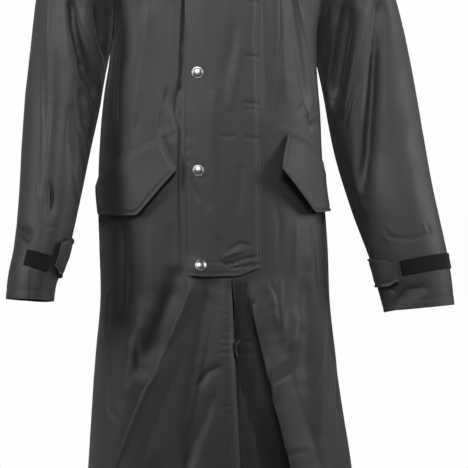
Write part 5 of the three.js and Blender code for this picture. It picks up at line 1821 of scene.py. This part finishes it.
@dataclass
class Collar:
    """Turned-down collar: a stand, a roll and a fall."""

    cut: Cut
    finishes: Finishes
    stand: float = 30.0
    roll: float = 4.5
    opening: float = 4.0
    gap: float = 1.6
    columns: int = 168
    rows: int = 42
    thickness: float = 1.6
    edge: Table = Table(
        ("turn", "out", "down"),
        ((0, 34, 60), (30, 42, 54), (60, 50, 34), (90, 52, 12), (130, 44, 22), (180, 34, 40)),
    )

    def build(self) -> None:
        """Makes the collar and its edge stitches."""
        neck = np.vstack([self.cut.front_neck, self.cut.back_neck[1:]]).astype(float)
        place = np.arange(self.columns + 1) / self.columns
        share = 1 - np.abs(2 * place - 1)
        sign = np.where(place <= 0.5, 1.0, -1.0)
        base = path_point(neck, share)
        base[:, 0] = np.maximum(base[:, 0], np.where(share < 0.5, self.opening, 0.0))
        turn = share * 180
        out = np.stack([np.sin(turn * DEGREE), -np.cos(turn * DEGREE), np.zeros_like(turn)], -1)
        reach, down = self.edge.read("out", turn), self.edge.read("down", turn)
        one = np.ones_like(turn)
        section = [
            (0 * one, self.gap * one), (-1 * one, self.stand / 2 * one), (-1 * one, self.stand * one),
            (self.roll * 0.8 * one, (self.stand + self.roll) * one),
            (self.roll * 2.4 * one, (self.stand - self.roll * 0.4) * one),
            (reach * 0.45, self.stand * 0.45 - down * 0.12), (reach * 0.75, -down * 0.5), (reach, -down),
        ]
        rows = np.array([base + out * o[:, None] + np.array([0, 0, 1.0]) * u[:, None] for o, u in section])
        rows = cubic_read(np.arange(len(rows)), rows, np.linspace(0, len(rows) - 1, self.rows + 1))
        noise = Noise(71)
        rows = rows * np.stack([sign, np.ones_like(sign), np.ones_like(sign)], -1)
        normals = grid_normals(rows)
        fall = smooth_step(np.linspace(0, 1, self.rows + 1), 0.5, 0.8)[:, None]
        rows = rows - normals * (noise.at(rows, 38) * 0.9 * fall)[..., None]
        piece = cloth_piece("collar_cloth", rows, grid_normals(rows), self.thickness, self.finishes.nylon)
        dress(piece, "collar")
        inner = rows - grid_normals(rows) * self.thickness
        stitches = Stitches()
        stitches.row(inner[-4], -grid_normals(rows)[-4])
        for column in (3, -4):
            stitches.row(inner[12:-3, column], -grid_normals(rows)[12:-3, column])
        stitches.finish("collar_stitches", self.finishes.thread)
        LOG.info("collar: %d points", rows.shape[0] * rows.shape[1])


@dataclass(frozen=True)
class Lamp:
    """Soft area light.

    Attributes:
        name: Name of the light.
        place: Middle of the light, in metres.
        size: Width and height, in metres.
        power: Power in watts.
        aim: Point that it faces.
        spread: Angle of its beam in degrees.
    """

    name: str
    place: tuple
    size: tuple
    power: float
    aim: tuple
    spread: float = 180


# A low key that falls off toward the skirt, a lamp beside each sleeve, and one behind
LAMPS = (
    Lamp("key", (-0.45, -2.8, 1.15), (1.3, 1.0), 12.5, (0.0, 0.0, 0.1), 52),
    Lamp("left_side", (-2.3, -0.55, 0.3), (0.6, 1.3), 11, (-0.3, 0.0, -0.4), 90),
    Lamp("right_side", (2.3, -0.7, 0.3), (0.6, 1.3), 11, (0.3, 0.0, -0.4), 90),
    Lamp("back", (0.4, 2.6, 0.9), (1.6, 1.4), 40, (0.0, 0.0, -0.55)),
)


@dataclass
class Studio:
    """Camera at the photograph's angle, pale floor and soft light."""

    turn: float = 13.0
    distance: float = 3.5
    frame_width: float = 0.7956
    target_across: float = 0.0366
    target_z: float = -0.6528
    floor_z: float = -1.262
    floor_half: float = 1.3
    ambient: float = 0.03
    sensor: float = 36.0

    def camera(self) -> None:
        """Places the camera level with the middle of the photograph."""
        turn = self.turn * DEGREE
        right = Vector((math.cos(turn), -math.sin(turn), 0))
        forward = Vector((math.sin(turn), math.cos(turn), 0))
        target = right * self.target_across + Vector((0, 0, self.target_z))
        data = bpy.data.cameras.new("camera")
        data.sensor_width = self.sensor
        data.lens = self.sensor * self.distance / self.frame_width
        data.clip_end = 30
        camera = bpy.data.objects.new("camera", data)
        camera.location = target - forward * self.distance
        camera.rotation_euler = forward.to_track_quat("-Z", "Y").to_euler()
        bpy.context.scene.collection.objects.link(camera)
        bpy.context.scene.camera = camera

    def light(self, lamp: Lamp) -> None:
        """Adds a lamp, turned to the point that it faces."""
        data = bpy.data.lights.new(lamp.name, "AREA")
        data.spread = lamp.spread * DEGREE
        data.shape = "RECTANGLE"
        data.size, data.size_y = lamp.size
        data.energy = lamp.power
        hung = bpy.data.objects.new(lamp.name, data)
        hung.location = lamp.place
        toward = Vector(lamp.aim) - Vector(lamp.place)
        hung.rotation_euler = toward.to_track_quat("-Z", "Y").to_euler()
        bpy.context.scene.collection.objects.link(hung)

    def build(self) -> None:
        """Makes the floor, the lights and the pale surround."""
        scene = bpy.context.scene
        scene.view_settings.view_transform = "Standard"
        world = bpy.data.worlds.new("surround")
        world.use_nodes = True
        tree = world.node_tree
        tree.nodes.clear()
        ray = add_node(tree, "ShaderNodeLightPath", {}, {})
        strength = add_node(
            tree, "ShaderNodeMapRange", {3: self.ambient, 4: 1.0}, {0: ray.outputs["Is Camera Ray"]}
        )
        pale = add_node(
            tree, "ShaderNodeBackground", {"in:Color": linear_colour("#fefefe")},
            {"Strength": strength.outputs["Result"]},
        )
        add_node(tree, "ShaderNodeOutputWorld", {}, {"Surface": pale.outputs["Background"]})
        scene.world = world
        for lamp in LAMPS:
            self.light(lamp)
        half = self.floor_half
        points = np.array([[-half, -half, 0], [half, -half, 0], [half, half, 0], [-half, half, 0]]) * 1000
        points[:, 2] = self.floor_z * 1000
        paper = bpy.data.materials.new("seamless_paper")
        paper.use_nodes = True
        shader = paper.node_tree.nodes["Principled BSDF"]
        shader.inputs["Base Color"].default_value = linear_colour("#f4f4f4")
        shader.inputs["Roughness"].default_value = 0.9
        floor = make_piece("floor", points, np.array([[0, 1, 2, 3]]), paper)


def main() -> None:
    """Builds the coat piece by piece, then the studio."""
    logging.basicConfig(level=logging.INFO, format="%(name)s %(message)s")
    studio = Studio()
    studio.camera()
    cut = Cut()
    shell = Shell(cut)
    shell.build()
    finishes = Finishes()
    surface = FrontSurface(shell)
    flap = StormFlap(surface, finishes)
    pieces = [
        BodyPanels(shell, finishes),
        Sleeves(shell, finishes),
        flap,
        Snaps(surface, finishes, flap),
        PocketFlap(Side.LEFT, surface, finishes, arc=103, z=-488, slant=-22, stand=20, seed=52),
        PocketFlap(Side.RIGHT, surface, finishes, arc=113, z=-491, slant=-24, stand=9, seed=53),
        Cuff(
            Side.LEFT, shell, finishes,
            tape={"from_turn": 62, "to_turn": 196, "z": -697, "fall": -3, "height": 24},
            tab={"from_turn": -38, "to_turn": 56, "z": -676, "fall": -8, "height": 51, "lift": 8},
        ),
        Cuff(
            Side.RIGHT, shell, finishes,
            tape={"from_turn": 70, "to_turn": 126, "z": -692, "fall": 0, "height": 23},
            tab={"from_turn": -30, "to_turn": 62, "z": -658, "fall": 0, "height": 52, "lift": 5},
        ),
        Collar(cut, finishes),
    ]
    for piece in pieces:
        piece.build()
    studio.build()


if __name__ == "__main__":
    main()
